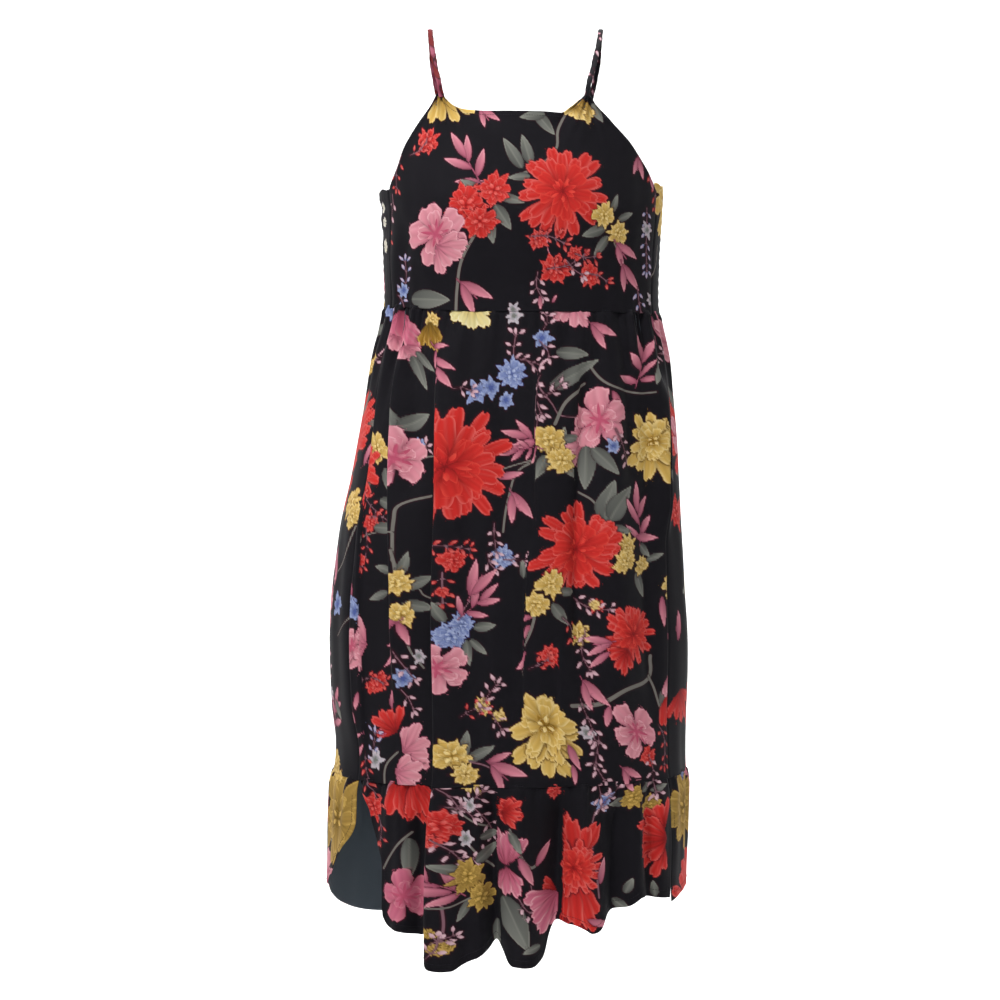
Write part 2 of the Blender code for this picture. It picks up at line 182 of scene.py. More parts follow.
# side, top z, bottom z, x at top, middle and bottom, half width, height, lean to the left, curl over to the left,
# cloth tucked out of sight in the steep side
FOLDS = (
    ("front", -366, -1260, -89, -88, -94, 22, 13, 0.78, 9.0, 54.0),
    ("front", -388, -870, -142, -143, -145, 18, 10, 0.75, 7.0, 38.0),
    ("front", -560, -940, -190, -194, -190, 15, 9, -0.65, -4.0, 26.0),
    ("front", -420, -660, 33, 32, 30, 17, 7, 0.66, 4.0, 16.0),
    ("front", -640, -900, 19, 18, 19, 18, 7, 0.66, 4.0, 16.0),
    ("front", -400, -830, 85, 79, 73, 13, -11, 0.25, 0.0, 9.0),
    ("front", -395, -1000, 116, 122, 130, 24, 8, -0.20, 0.0, 0.0),
    ("front", -760, -960, 54, 54, 52, 12, 7, 0.50, 2.0, 8.0),
    ("front", -440, -900, 162, 166, 168, 12, -8, 0.00, 0.0, 0.0),
    ("front", -430, -660, 181, 184, 186, 12, 7, -0.55, -3.0, 14.0),
    ("front", -480, -940, -58, -61, -64, 18, -6, 0.00, 0.0, 0.0),
    ("front", -700, -940, -24, -26, -28, 15, 4, 0.30, 0.0, 0.0),
    ("front", -400, -700, -22, -16, -8, 20, -4, 0.10, 0.0, 0.0),
    ("front", -390, -620, -118, -121, -124, 12, -7, 0.00, 0.0, 0.0),
    ("front", -390, -600, 140, 142, 146, 11, -6, 0.10, 0.0, 0.0),
    ("front", -385, -520, 60, 56, 50, 12, -3, 0.10, 0.0, 0.0),
    ("front", -925, -1260, -84, -88, -92, 20, 9, 0.60, 4.0, 0.0),
    ("front", -925, -1260, -62, -60, -58, 15, -8, 0.00, 0.0, 0.0),
    ("front", -925, -1260, -45, -44, -42, 14, 6, 0.00, 0.0, 0.0),
    ("front", -925, -1260, -28, -25, -22, 11, -18, -0.20, 0.0, 16.0),
    ("front", -925, -1260, 4, 8, 12, 17, 11, 0.30, 0.0, 0.0),
    ("front", -925, -1260, 50, 52, 54, 15, -20, -0.30, 0.0, 22.0),
    ("front", -925, -1260, 84, 88, 92, 18, 11, 0.30, 3.0, 0.0),
    ("front", -925, -1260, 118, 120, 124, 12, -12, 0.00, 0.0, 0.0),
    ("front", -925, -1260, 142, 146, 150, 14, 9, 0.20, 0.0, 0.0),
    ("front", -925, -1260, 160, 162, 164, 9, -9, 0.00, 0.0, 0.0),
    ("front", -925, -1260, -118, -119, -120, 10, -11, 0.00, 0.0, 0.0),
    ("front", -925, -1260, -136, -140, -146, 14, 10, 0.20, 0.0, 0.0),
    ("front", -925, -1260, 174, 178, 180, 13, 6, 0.20, 0.0, 0.0),
    ("back", -390, -1200, -128, -136, -142, 20, 11, 0.60, 5.0, 26.0),
    ("back", -420, -1200, -66, -74, -78, 18, -10, 0.10, 0.0, 0.0),
    ("back", -390, -1200, -18, -20, -20, 23, 11, -0.65, -5.0, 28.0),
    ("back", -430, -1200, 38, 42, 46, 16, -10, 0.10, 0.0, 0.0),
    ("back", -400, -1200, 88, 98, 104, 21, 10, 0.60, 5.0, 26.0),
    ("back", -480, -1200, 140, 148, 152, 15, -8, 0.00, 0.0, 0.0),
    ("back", -560, -930, -102, -106, -108, 13, 5, 0.20, 0.0, 0.0),
    ("back", -620, -940, 66, 70, 74, 12, 5, -0.20, 0.0, 0.0),
    ("back", -400, -620, 16, 14, 10, 11, -5, 0.00, 0.0, 0.0),
    ("back", -930, -1240, -106, -110, -112, 13, 8, 0.00, 0.0, 0.0),
    ("back", -930, -1240, 8, 10, 12, 14, -11, 0.00, 0.0, 0.0),
    ("back", -930, -1240, 66, 70, 72, 14, 9, 0.00, 0.0, 0.0),
)

# ------------------------------------------------------------------ table reading


def read(rows, column, key):
    """Smooth curve through a table column, by its first column."""
    rows = sorted(rows)
    xs = np.array([r[0] for r in rows], float)
    ys = np.array([r[column] for r in rows], float)
    key = np.clip(np.asarray(key, float), xs[0], xs[-1])
    step = np.diff(xs)
    rise = np.diff(ys) / step
    slope = np.empty_like(ys)
    slope[0], slope[-1] = rise[0], rise[-1]
    slope[1:-1] = np.where(
        rise[:-1] * rise[1:] > 0,
        (rise[:-1] * step[1:] + rise[1:] * step[:-1]) / (step[1:] + step[:-1]),
        0.0,
    )
    i = np.clip(np.searchsorted(xs, key, side="right") - 1, 0, len(xs) - 2)
    t = (key - xs[i]) / step[i]
    h = step[i]
    t2, t3 = t * t, t * t * t
    return (
        ys[i] * (2 * t3 - 3 * t2 + 1)
        + h * slope[i] * (t3 - 2 * t2 + t)
        + ys[i + 1] * (3 * t2 - 2 * t3)
        + h * slope[i + 1] * (t3 - t2)
    )


def read_round(angle, column):
    return read(ROUND, column, (np.asarray(angle) + 180.0) % 360.0 - 180.0)


def power_of(value, power):
    return np.sign(value) * np.abs(value) ** power


def smooth_step(t):
    t = np.clip(t, 0.0, 1.0)
    return t * t * (3 - 2 * t)


def bump(x, width):
    return np.exp(-((x / width) ** 2))


# ------------------------------------------------------------------ body rings and folds


def folds_at(x, front, share, z):
    """Height of the folds, how far their crests curl in x, and the cloth tucked away up to each point."""
    height, curl, tuck = np.zeros_like(x), np.zeros_like(x), np.zeros_like(x)
    for side, top, bottom, x0, x1, x2, width, tall, lean, over, hidden in FOLDS:
        run = (top - z) / (top - bottom)
        middle = np.where(run < 0.5, x0 + (x1 - x0) * run * 2, x1 + (x2 - x1) * (run * 2 - 1))
        middle = middle + 2.2 * np.sin(z / 57.0 + x0)  # folds wander a little
        ease = smooth_step(run / 0.22)
        if bottom > -1150:
            ease = ease * smooth_step((1 - run) / 0.25)
        ease = ease * ((run > 0) & (run < 1)) * (front == (side == "front"))
        off = x - middle
        reach = np.where(off < 0, width * (1 - lean), width * (1 + lean))
        height += tall * ease * np.exp(-((off / reach) ** 2))
        if over:
            toward = 1.0 if over > 0 else -1.0
            curl -= over * ease * np.exp(-(((off * toward - 1.0) / (width * 0.45)) ** 2))
        if hidden:
            steep = -0.7 * width * (1 - lean) if lean > 0 else 0.7 * width * (1 + lean)
            passed = smooth_step((off - steep) / 4.0 + 0.5)
            tuck += hidden * ease * (passed if x1 > 0 else passed - 1.0)
    fade = np.minimum(1.0, share * 2.2)
    return height * fade, curl * fade, tuck


def unevenness(angle, z, size):
    """Slow, small undulation of hanging cloth."""
    a = np.radians(angle)
    return size * (
        0.5 * np.sin(9 * a + z / 83.0)
        + 0.35 * np.sin(17 * a - z / 140.0 + 1.3)
        + 0.3 * np.sin(5 * a + z / 47.0 + 0.6)
        + 0.2 * np.sin(29 * a + z / 61.0 + 2.1)
    )


def ring_point(angle, z, lift, skirted):
    c, s = np.cos(np.radians(angle)), np.sin(np.radians(angle))
    half, middle = read(BODY, 2, z), read(BODY, 1, z)
    depth = np.where(s < 0, read(BODY, 3, z), read(BODY, 4, z))
    x = half * power_of(c, 2.0 / RING_POWER)
    y = depth * power_of(s, 2.0 / RING_POWER)
    nx = power_of(x / half, RING_POWER - 1) / half
    ny = power_of(y / depth, RING_POWER - 1) / depth
    length = np.hypot(nx, ny) + 1e-12
    nx, ny = nx / length, ny / length
    curl, tuck = 0.0, np.zeros_like(x)
    if skirted:
        height, curl, tuck = folds_at(x + middle, s < 0, np.abs(s), z)
        lift = lift + height
        tuck = np.where(s < 0, tuck, -tuck)
    return np.stack([middle + x + nx * lift + curl, y + ny * lift, z], axis=-1), tuck


def front_angle(x, z):
    share = np.clip((x - read(BODY, 1, z)) / read(BODY, 2, z), -1.0, 1.0)
    return -np.degrees(np.arccos(power_of(share, RING_POWER / 2.0)))


def side_angles(z):
    return -180.0 + read(SEAM, 1, z), -read(SEAM, 2, z)


# ------------------------------------------------------------------ panels as (angle, z, lift) of (u, v)


def bodice_front(u, v):
    edge_z = -101.0 + v * -265.0
    angle_left = front_angle(read(ARMHOLE, 1, v), edge_z)
    angle_right = front_angle(read(ARMHOLE, 2, v), edge_z)
    left, right = side_angles(edge_z)
    low = ARMHOLE[-1][0]
    a0 = np.where(v < low, np.maximum(angle_left, left), left)
    a1 = np.where(v < low, np.minimum(angle_right, right), right)
    angle = a0 + (a1 - a0) * u
    top = read(NECK, 1, -97 + 190 * u)
    bottom = read_round(-158 + u * 136, 1)
    z = top + v * (bottom - top)
    lift = np.zeros_like(z)
    x = read(BODY, 1, z) + read(BODY, 2, z) * power_of(np.cos(np.radians(angle)), 2.0 / RING_POWER)
    # gathers that fan out of the neck corners
    for cx, cz, turn in ((-94, -96, 0.3), (90, -99, 1.1)):
        dx, dz = x - cx, z - cz
        r = np.hypot(dx, dz)
        theta = np.arctan2(dz, dx)
        wave = np.sin(15 * theta + turn) + 0.5 * np.sin(26 * theta + 2 * turn)
        lift += 2.3 * wave * np.exp(-((r / 38.0) ** 1.5)) * smooth_step(r / 9.0)
        lift += 0.8 * np.sin(37 * theta + turn) * np.exp(-((r / 22.0) ** 2)) * smooth_step(r / 7.0)
        wave = np.sin(7 * theta + turn * 2)
        lift += 1.6 * wave * np.exp(-((r / 100.0) ** 2)) * smooth_step(r / 40.0)
    # slack over the bust and drag lines towards the underarms
    for cx, lean_way in ((-70, 1), (82, -1)):
        lift += 4.0 * bump(x - cx, 38) * bump(z + 232, 62)
        lift += 1.6 * bump((x - cx * 1.9) + lean_way * (z + 250) * 0.35, 9) * bump(z + 285, 55)
    lift += 1.5 * bump(x + 150 - (z + 300) * 0.15, 8) * bump(z + 300, 46)
    lift -= 1.6 * bump(x + 136 - (z + 300) * 0.1, 7) * bump(z + 310, 50)
    lift += unevenness(angle, z, 1.0) * smooth_step(v / 0.12)
    # pinched into the waist seam
    lift += 0.8 * np.sin(np.radians(angle) * 44) * bump(v - 0.97, 0.07) * bump(u - 0.06, 0.12)
    lift += 0.8 * np.sin(np.radians(angle) * 40) * bump(v - 0.97, 0.07) * bump(u - 0.93, 0.12)
    return angle, z, lift


def bodice_back(u, v):
    angle = -22.0 + 224.0 * u
    top = read(BACK_TOP, 1, angle)
    bottom = read_round(angle, 1)
    z = top + v * (bottom - top)
    left, right = side_angles(z)
    start, end = right - 1.2, 361.2 + left
    angle = start + (end - start) * u
    down = (top - z) - 6.0  # mm below the frilled top edge
    pitch = 11.0
    row = np.floor(down / pitch)
    puff = 0.5 - 0.5 * np.cos(2 * np.pi * down / pitch)
    round_mm = u * 640.0
    ripple = np.sin(round_mm / 6.4 * 2 * np.pi / 1.6 + 1.7 * np.sin(row * 2.4) + 0.8 * np.sin(round_mm / 31.0))
    ripple += 0.45 * np.sin(round_mm / 4.1 * 2 * np.pi / 1.7 + row * 1.9)
    lift = 0.7 * puff + 0.75 * ripple * (0.4 + 0.6 * puff)
    frill = bump(down + 6.0, 7.0)
    lift += 2.0 * frill * np.sin(round_mm / 9.0)
    lift *= 0.15 + 0.85 * smooth_step((np.minimum(u, 1 - u) - 0.03) / 0.16)
    scallop = np.abs(np.cos(down / 10.5)) - 0.6
    lift += (3.4 + 3.2 * scallop) * bump(u - 0.925, 0.04) * bump(v - 0.15, 0.30)
    lift += 1.5 * bump(u - 0.05, 0.04) * bump(v, 0.3)
    z = z + 1.2 * frill * np.sin(round_mm / 6.0 + 0.7)
    return angle, z, lift - 0.9 * (np.minimum(u, 1 - u) < 0.012)


def skirt(u, v, front):
    left, right = side_angles(-372 + v * -576)
    if front:
        start, end = left, right
    else:
        start, end = right - 1.0, 361.0 + left
    angle = start + (end - start) * u
    top = read_round(angle, 1) + 4.0
    bottom = read_round(angle, 2)
    z = top + v * (bottom - top)
    below = top - z
    a = np.radians(angle)
    # gathers strongest at both sides, nearly flat in the middle of the front
    strong = 0.25 + 0.9 * bump(np.abs(u - 0.5) - 0.42, 0.13) if front else 0.8 + 0.2 * np.sin(3 * a)
    waves = np.sin(58 * a + 1.8 * np.sin(7 * a)) + 0.6 * np.sin(97 * a + 2.2 * np.sin(5 * a))
    lift = 1.9 * strong * waves * np.exp(-below / 36.0) * smooth_step(below / 8.0)
    lift += 1.6 * strong * np.sin(112 * a + 2.4 * np.sin(11 * a)) * np.exp(-below / 28.0) * smooth_step(below / 5.0)
    waves = np.sin(31 * a + 1.2 * np.sin(4 * a) + below / 160.0)
    lift += 4.2 * strong * waves * np.exp(-((below - 34) / 62.0) ** 2)
    lift += unevenness(angle, z, 1.5) * smooth_step(below / 60)
    lift -= 1.3 * (1 - smooth_step((below - 3.2) / 2.4))
    if not front:
        lift = lift - 1.0 * (np.minimum(u, 1 - u) < 0.006)
    return angle, z, lift


def ruffle(u, v, front):
    left, right = side_angles(-950.0)
    if front:
        start, end = left + read(VENT, 1, v), right - read(VENT, 3, v)
    else:
        start, end = right + read(VENT, 4, v), 360.0 + left - read(VENT, 2, v)
    angle = start + (end - start) * u
    top = read_round(angle, 2) + 4.0
    if front:
        x = -10.0 + 225.0 * power_of(np.cos(np.radians(angle)), 2.0 / RING_POWER)
        bottom = read(HEM_FRONT, 1, x)
    else:
        bottom = read_round(angle, 3) + 24.0 * bump(1 - u, 0.035)
    z = top + v * (bottom - top)
    below = top - z
    a = np.radians(angle)
    strong = 0.75 + 0.35 * np.sin(5 * a + 0.4)
    waves = np.sin(64 * a + 2.0 * np.sin(6 * a)) + 0.6 * np.sin(103 * a + 2.2 * np.sin(5 * a))
    lift = 1.7 * strong * waves * np.exp(-below / 26.0) * smooth_step(below / 8.0)
    lift += 1.1 * strong * np.sin(120 * a + 2.1 * np.sin(9 * a)) * np.exp(-below / 20.0) * smooth_step(below / 5.0)
    waves = np.sin(36 * a + 1.4 * np.sin(4 * a) + below / 120.0)
    lift += 3.2 * strong * waves * np.exp(-((below - 36) / 60.0) ** 2)
    lift += 3.0 * v + unevenness(angle, z, 1.6) * smooth_step(below / 50)
    lift -= 1.3 * (1 - smooth_step((below - 3.2) / 2.4))
    return angle, z, lift


# name: shape, skirted, columns, rows
PANELS = {
    "bodice_front": (bodice_front, False, 268, 180),
    "bodice_back": (bodice_back, False, 330, 108),
    "skirt_front": (lambda u, v: skirt(u, v, True), True, 244, 320),
    "skirt_back": (lambda u, v: skirt(u, v, False), True, 280, 270),
    "ruffle_front": (lambda u, v: ruffle(u, v, True), True, 330, 150),
    "ruffle_back": (lambda u, v: ruffle(u, v, False), True, 330, 120),
}


def grid_of(shape, skirted, across, down):
    """Points of a panel on a grid whose columns are evenly spaced along its middle row."""
    fine = np.linspace(0, 1, 1601)
    angle, z, lift = shape(fine, np.full_like(fine, 0.75))
    line, _ = ring_point(angle, z, lift * 0, skirted)
    run = np.concatenate([[0], np.cumsum(np.linalg.norm(np.diff(line, axis=0), axis=1))])
    us = np.interp(np.linspace(0, run[-1], across + 1), run, fine)
    vs = np.linspace(0, 1, down + 1)
    u, v = np.meshgrid(us, vs)
    angle, z, lift = shape(u, v)
    return (*ring_point(angle, z, lift, skirted), angle, z)


def normals_of(p):
    along = np.gradient(p, axis=1)
    below = np.gradient(p, axis=0)
    n = np.cross(below, along)
    return n / (np.linalg.norm(n, axis=-1, keepdims=True) + 1e-12)


def flat_of(angle, z, tuck, facing, fullness):
    """Place of each grid point on the cut cloth, in mm: across from the middle of the front or back, and down."""
    plain, _ = ring_point(angle, z, np.zeros_like(z), False)
    step = np.linalg.norm(np.diff(plain[..., :2], axis=1), axis=-1)
    across = np.concatenate([np.zeros((len(z), 1)), np.cumsum(step, axis=1)], axis=1)
    tuck = tuck.copy()
    for row in range(len(z)):
        across[row] -= np.interp(facing, angle[row], across[row])
        for side in (0.0, 180.0):  # the tucked cloth carries on round the side without a step
            k = int(np.searchsorted(angle[row], side))
            if facing > 0 and 0 < k < len(angle[row]):
                step_over = tuck[row, k] - tuck[row, k - 1]
                if side:
                    tuck[row, k:] -= step_over
                else:
                    tuck[row, :k] += step_over
    return across * fullness + tuck, -z


# ------------------------------------------------------------------ colours, as seen


def rgb(code):
    c = np.array([int(code[i : i + 2], 16) / 255 for i in (0, 2, 4)])
    return np.where(c <= 0.04045, c / 12.92, ((c + 0.055) / 1.055) ** 2.4)


INK = {
    "ground": rgb("0d0b11"),
    "halo": rgb("2c0a16"),
    "red": rgb("bb2722"),
    "red_deep": rgb("8f1418"),
    "red_rim": rgb("cd625c"),
    "pink": rgb("c37f8a"),
    "pink_deep": rgb("a74860"),
    "pink_rim": rgb("d9a8ad"),
    "yellow": rgb("c6a354"),
    "yellow_deep": rgb("835e1c"),
    "yellow_rim": rgb("dcc88f"),
    "blue": rgb("727fa8"),
    "blue_deep": rgb("435087"),
    "blue_rim": rgb("a5aec8"),
    "leaf": rgb("676862"),
    "leaf_deep": rgb("4a4b48"),
    "leaf_rim": rgb("8b8c81"),
    "stem": rgb("696660"),
    "mauve": rgb("74515b"),
    "sprig": rgb("bd7583"),
    "sprig_rim": rgb("d79da3"),
    "sprig_deep": rgb("91475c"),
    "drop": rgb("c9acb3"),
    "drop_deep": rgb("a97e89"),
    "drop_grey": rgb("a3a0a6"),
    "pink_mid": rgb("b66076"),
    "red_soft": rgb("cc4237"),
    "cream": rgb("cabf89"),
    "cream_rim": rgb("ded7b4"),
    "ochre": rgb("6e5318"),
    "pale": rgb("dad8d3"),
    # the wrong side's own dark grey-blue, darkened further as painted shade: it stands in for the shade under the front
    # panel where the wrong side shows
    "wrong": rgb("41484f"),
    # a darker yellow for the shaded copies of the lily and ragged flower: painted shade
    "yellow_dim": rgb("97793b"),
}
BAND, FULL, FADE = 7.0, 2.6, 3.8  # mm each side of an edge: its reach, both colours whole up to, both faded by


class Print:
    """The cloth's points on the flat, and the colours laid on them in painter's order."""

    def __init__(self, across, down):
        self.s, self.t = across.ravel(), down.ravel()
        n = len(self.s)
        self.above = np.tile(INK["ground"], (n, 1))
        self.below = self.above.copy()
        self.edge = np.full(n, BAND)
        self.cell = 12.0
        self.s0, self.t0 = self.s.min(), self.t.min()
        self.wide = int((self.s.max() - self.s0) / self.cell) + 2
        self.tall = int((self.t.max() - self.t0) / self.cell) + 2
        key = ((self.t - self.t0) // self.cell).astype(int) * self.wide + (
            (self.s - self.s0) // self.cell
        ).astype(int)
        self.order = np.argsort(key, kind="stable")
        self.starts = np.searchsorted(key[self.order], np.arange(self.wide * self.tall + 1))

    def near(self, s, t, reach):
        i0 = max(0, int((s - reach - self.s0) // self.cell))
        i1 = min(self.wide - 1, int((s + reach - self.s0) // self.cell))
        j0 = max(0, int((t - reach - self.t0) // self.cell))
        j1 = min(self.tall - 1, int((t + reach - self.t0) // self.cell))
        if i0 > i1 or j0 > j1:
            return np.empty(0, int)
        parts = [
            self.order[self.starts[j * self.wide + i0] : self.starts[j * self.wide + i1 + 1]]
            for j in range(j0, j1 + 1)
        ]
        return np.concatenate(parts) if parts else np.empty(0, int)

    def lay(self, idx, dist, colour, halo=0.0):
        """Lay a colour where dist < 0. Points near the edge keep both colours, so the edge stays crisp.

        halo is how far, in mm, the ground outside darkens towards maroon.
        """
        keep = dist < BAND
        idx, dist = idx[keep], dist[keep]
        if not len(idx):
            return
        colour = np.broadcast_to(colour, (len(keep), 3))[keep]
        now = np.where(self.edge[idx][:, None] > 0, self.above[idx], self.below[idx])
        if halo:
            k = 0.8 * (1 - smooth_step(dist / (halo * 1.9)))[:, None]
            now = now * (1 - k) + INK["halo"] * k
        take = (dist < 0) | (dist < np.abs(self.edge[idx]))
        i, d, c, n = idx[take], dist[take], colour[take], now[take]
        k = smooth_step((np.abs(d) - FULL) / (FADE - FULL))[:, None]
        inside = (d < 0)[:, None]
        self.above[i] = np.where(inside, c, c * (1 - k) + n * k)
        self.below[i] = np.where(inside, n * (1 - k) + c * k, n)
        self.edge[i] = np.clip(-d, -BAND, BAND)


def union(shapes):
    """Nearest distance at each point over several (points, distances)."""
    idx, dist = np.concatenate([k[0] for k in shapes]), np.concatenate([k[1] for k in shapes])
    order = np.lexsort((dist, idx))
    idx, dist = idx[order], dist[order]
    first = np.concatenate([[True], idx[1:] != idx[:-1]])
    return idx[first], dist[first]


PETALS = {
    "round": lambda p: np.where(
        p > 0.6,
        np.sqrt(np.clip(1 - ((p - 0.6) / 0.4) ** 2, 0, 1)),
        0.34 + 0.66 * np.sin(np.pi / 2 * p / 0.6),
    ),
    "notch": lambda p: np.where(
        p > 0.80,
        np.clip(1 - ((p - 0.80) / 0.20) ** 2, 0, 1) ** 0.32,
        0.26 + 0.74 * np.sin(np.pi / 2 * p / 0.80),
    ),
    "broad": lambda p: np.where(
        p > 0.74,
        np.clip(1 - ((p - 0.74) / 0.26) ** 2, 0, 1) ** 0.38,
        0.16 + 0.84 * np.sin(np.pi / 2 * np.clip(p, 0, 1) / 0.74) ** 1.3,
    ),
    "lance": lambda p: np.sin(np.pi * np.clip(p, 0, 1) ** 0.85) ** 0.85,
    "leaf": lambda p: np.sin(np.pi * np.clip(p, 0, 1) ** 0.72) ** 0.8,
    "drop": lambda p: np.sqrt(np.clip(np.sin(np.pi * np.clip(p, 0, 1) ** 1.3), 0, 1)),
}


def petal_distance(x, y, length, wide, profile, wave=0.0, turn=0.0):
    p = np.clip(x / length, 0.0, 1.0)
    half = wide * PETALS[profile](p)
    if wave:
        half = half * (1 + 1.3 * wave * np.sin(x / length * 13.0 + turn + np.sign(y)) * np.clip(p * 2 - 0.5, 0, 1))
    end = length * (1 + wave * np.sin(y / wide * 4.6 + turn)) if wave else length
    side = np.abs(y) - half
    far = np.maximum(-x, x - end)
    return np.where(far > 0, np.hypot(far, np.maximum(side, 0)), np.maximum(side * 0.9, far))


def draw_petals(cloth, petals, halo=1.3):
    """petals: (s, t, angle, length, half width, profile, base ink, tip ink, rim ink, rim width, vein)."""
    placed = []
    for s, t, angle, length, wide, profile, base, tip, rim, rim_width, vein in petals:
        idx = cloth.near(s, t, length + wide + BAND + 2)
        if not len(idx):
            continue
        c, d = math.cos(math.radians(angle)), math.sin(math.radians(angle))
        ds, dt = cloth.s[idx] - s, cloth.t[idx] - t
        x, y = ds * c + dt * d, -ds * d + dt * c
        wave = {"round": 0.04, "notch": 0.045, "broad": 0.085}.get(profile, 0.0)
        dist = petal_distance(x, y, length, wide, profile, wave, s + t)
        placed.append((idx, x, y, dist, length, wide, base, tip, rim, rim_width, vein, profile, s * 0.37 + angle))
    if halo and placed:
        idx, dist = union([(k[0], k[3]) for k in placed])
        cloth.lay(idx, dist, INK[placed[0][6]], halo)
    for idx, x, y, dist, length, wide, base, tip, rim, rim_width, vein, profile, turn in placed:
        p = np.clip(x / length, 0, 1)[:, None]
        colour = INK[base] * (1 - p) ** 1.5 + INK[tip] * (1 - (1 - p) ** 1.5)
        if vein:
            q = y / max(wide, 0.1)
            streak = (np.abs(np.sin(q * 4.1 + 0.4 + turn)) ** 3)[:, None] * 0.22 * (1 - p * 0.6)
            pale = (np.clip(np.sin(q * 5.3 + turn * 1.7 + p[:, 0] * 2), 0, 1) ** 3)[:, None] * 0.22 * p
            colour = colour * (1 - streak) * (1 - pale) + INK[rim] * pale
        if profile in ("leaf", "lance"):
            colour = colour * (1 + 0.13 * np.tanh(y / 1.5))[:, None]
            rib = 0.32 * np.exp(-((y / 1.1) ** 2))[:, None] * (profile == "leaf")
            colour = colour * (1 - rib) + INK[rim] * rib
        if rim_width:
            edge = smooth_step((dist + rim_width * 2.2) / (rim_width * 2.2))[:, None]
            tipped = smooth_step((p - 0.35) / 0.5)
            colour = colour * (1 - 0.7 * edge * tipped) + INK[rim] * 0.7 * edge * tipped
            colour = colour * (1 - 0.38 * edge * (1 - tipped))
        cloth.lay(idx, dist, colour)


def draw_line(cloth, points, wide, ink, halo=0.9):
    """A line of even width, all its pieces laid as one shape."""
    shapes = []
    for (s0, t0), (s1, t1) in zip(points, points[1:]):
        length = math.hypot(s1 - s0, t1 - t0)
        if length > 160:
            continue
        idx = cloth.near((s0 + s1) / 2, (t0 + t1) / 2, length / 2 + wide + BAND + 2)
        if not len(idx):
            continue
        ds, dt = cloth.s[idx] - s0, cloth.t[idx] - t0
        k = np.clip((ds * (s1 - s0) + dt * (t1 - t0)) / max(length**2, 1e-6), 0, 1)
        shapes.append((idx, np.hypot(ds - k * (s1 - s0), dt - k * (t1 - t0)) - wide / 2))
    if not shapes:
        return
    idx, dist = union(shapes)
    shade = 0.82 + 0.3 * smooth_step(-dist / max(wide * 0.5, 0.5))[:, None]
    cloth.lay(idx, dist, INK[ink] * shade, halo)


def curve(points, pieces=6):
    """Catmull-Rom through flat points."""
    result = []
    n = len(points)
    for i in range(n - 1):
        p0, p1, p2, p3 = points[max(i - 1, 0)], points[i], points[i + 1], points[min(i + 2, n - 1)]
        for k in range(pieces):
            t = k / pieces
            result.append(
                tuple(
                    0.5
                    * (
                        2 * p1[a]
                        + (p2[a] - p0[a]) * t
                        + (2 * p0[a] - 5 * p1[a] + 4 * p2[a] - p3[a]) * t * t
                        + (3 * p1[a] - p0[a] - 3 * p2[a] + p3[a]) * t**3
                    )
                    for a in (0, 1)
                )
            )
    return result + [tuple(points[-1])]


# ------------------------------------------------------------------ motifs, each of (cloth, s, t, size, angle, random)


def rosette(s, t, radius, angle, count, wide, profile, inks, rim_width, vein, chance, jitter=0.14, start=0.0):
    out = []
    for i in range(count):
        turn = angle + 360.0 * i / count + chance.uniform(-1, 1) * min(9.0, 100.0 / count)
        length = radius * (1 + chance.uniform(-jitter, jitter))
        out.append(
            (
                s + math.cos(math.radians(turn)) * start,
                t + math.sin(math.radians(turn)) * start,
                turn,
                length,
                wide * radius * chance.uniform(0.88, 1.12),
                profile,
                *inks,
                rim_width,
                vein,
            )
        )
    return out


def dahlia(cloth, s, t, size, angle, chance):
    r = size / 2
    red = ("red_deep", "red", "red_rim")
    petals = rosette(s, t, r, angle, 17, 0.122, "notch", red, 1.2, True, chance, 0.13)
    petals += rosette(s, t, r * 0.80, angle + 13, 14, 0.150, "notch", red, 1.2, True, chance, 0.14)
    petals += rosette(s, t, r * 0.60, angle + 5, 10, 0.20, "notch", ("red_deep", "red", "red_soft"), 1.1, True, chance, 0.22)
    petals += rosette(s, t, r * 0.40, angle + 25, 8, 0.17, "lance", ("red_deep", "red", "red_soft"), 0.8, False, chance, 0.4)
    petals += rosette(s, t, r * 0.24, angle + 8, 5, 0.14, "lance", ("red", "red_soft", "red_soft"), 0.0, False, chance, 0.4, r * 0.1)
    draw_petals(cloth, petals, 1.6)


def peony(cloth, s, t, size, angle, chance, pink=("pink_mid", "pink", "pink_rim")):
    r = size / 2
    petals = []
    for off, long, wide in ((20, 0.94, 0.36), (164, 0.92, 0.34), (308, 0.96, 0.37), (92, 1.04, 0.34), (236, 1.02, 0.38)):
        turn = angle + off + chance.uniform(-7, 7)
        petals.append((s, t, turn, r * long * chance.uniform(0.94, 1.06), r * wide, "broad", *pink, 1.6, True))
    petals += rosette(s, t, r * 0.60, angle + 28, 5, 0.32, "broad", ("pink_deep", pink[1], pink[2]), 1.3, True, chance, 0.24)
    petals += rosette(s, t, r * 0.46, angle + 50, 9, 0.10, "lance", ("pink_deep", "pink_deep", "pink_mid"), 0.0, False, chance, 0.35)
    petals += rosette(s, t, r * 0.24, angle + 40, 4, 0.20, "lance", ("pink_deep", pink[1], pink[2]), 0.0, False, chance, 0.3, r * 0.06)
    draw_petals(cloth, petals, 1.6)


def lily(cloth, s, t, size, angle, chance, yellow=("yellow_deep", "yellow", "yellow_rim")):
    r = size / 2
    petals = rosette(s, t, r, angle, 9, 0.21, "broad", yellow, 1.6, True, chance, 0.2)
    petals += rosette(s, t, r * 0.80, angle + 20, 7, 0.24, "broad", yellow, 1.4, True, chance, 0.2)
    petals += rosette(s, t, r * 0.55, angle + 40, 6, 0.26, "notch", yellow, 1.2, True, chance, 0.2)
    petals += rosette(s, t, r * 0.34, angle + 5, 6, 0.20, "lance", (yellow[0], yellow[0], yellow[1]), 0.8, False, chance, 0.3)
    petals += rosette(s, t, r * 0.20, angle + 25, 4, 0.24, "lance", (yellow[1], yellow[2], yellow[2]), 0.0, False, chance, 0.3, r * 0.06)
    draw_petals(cloth, petals, 1.6)


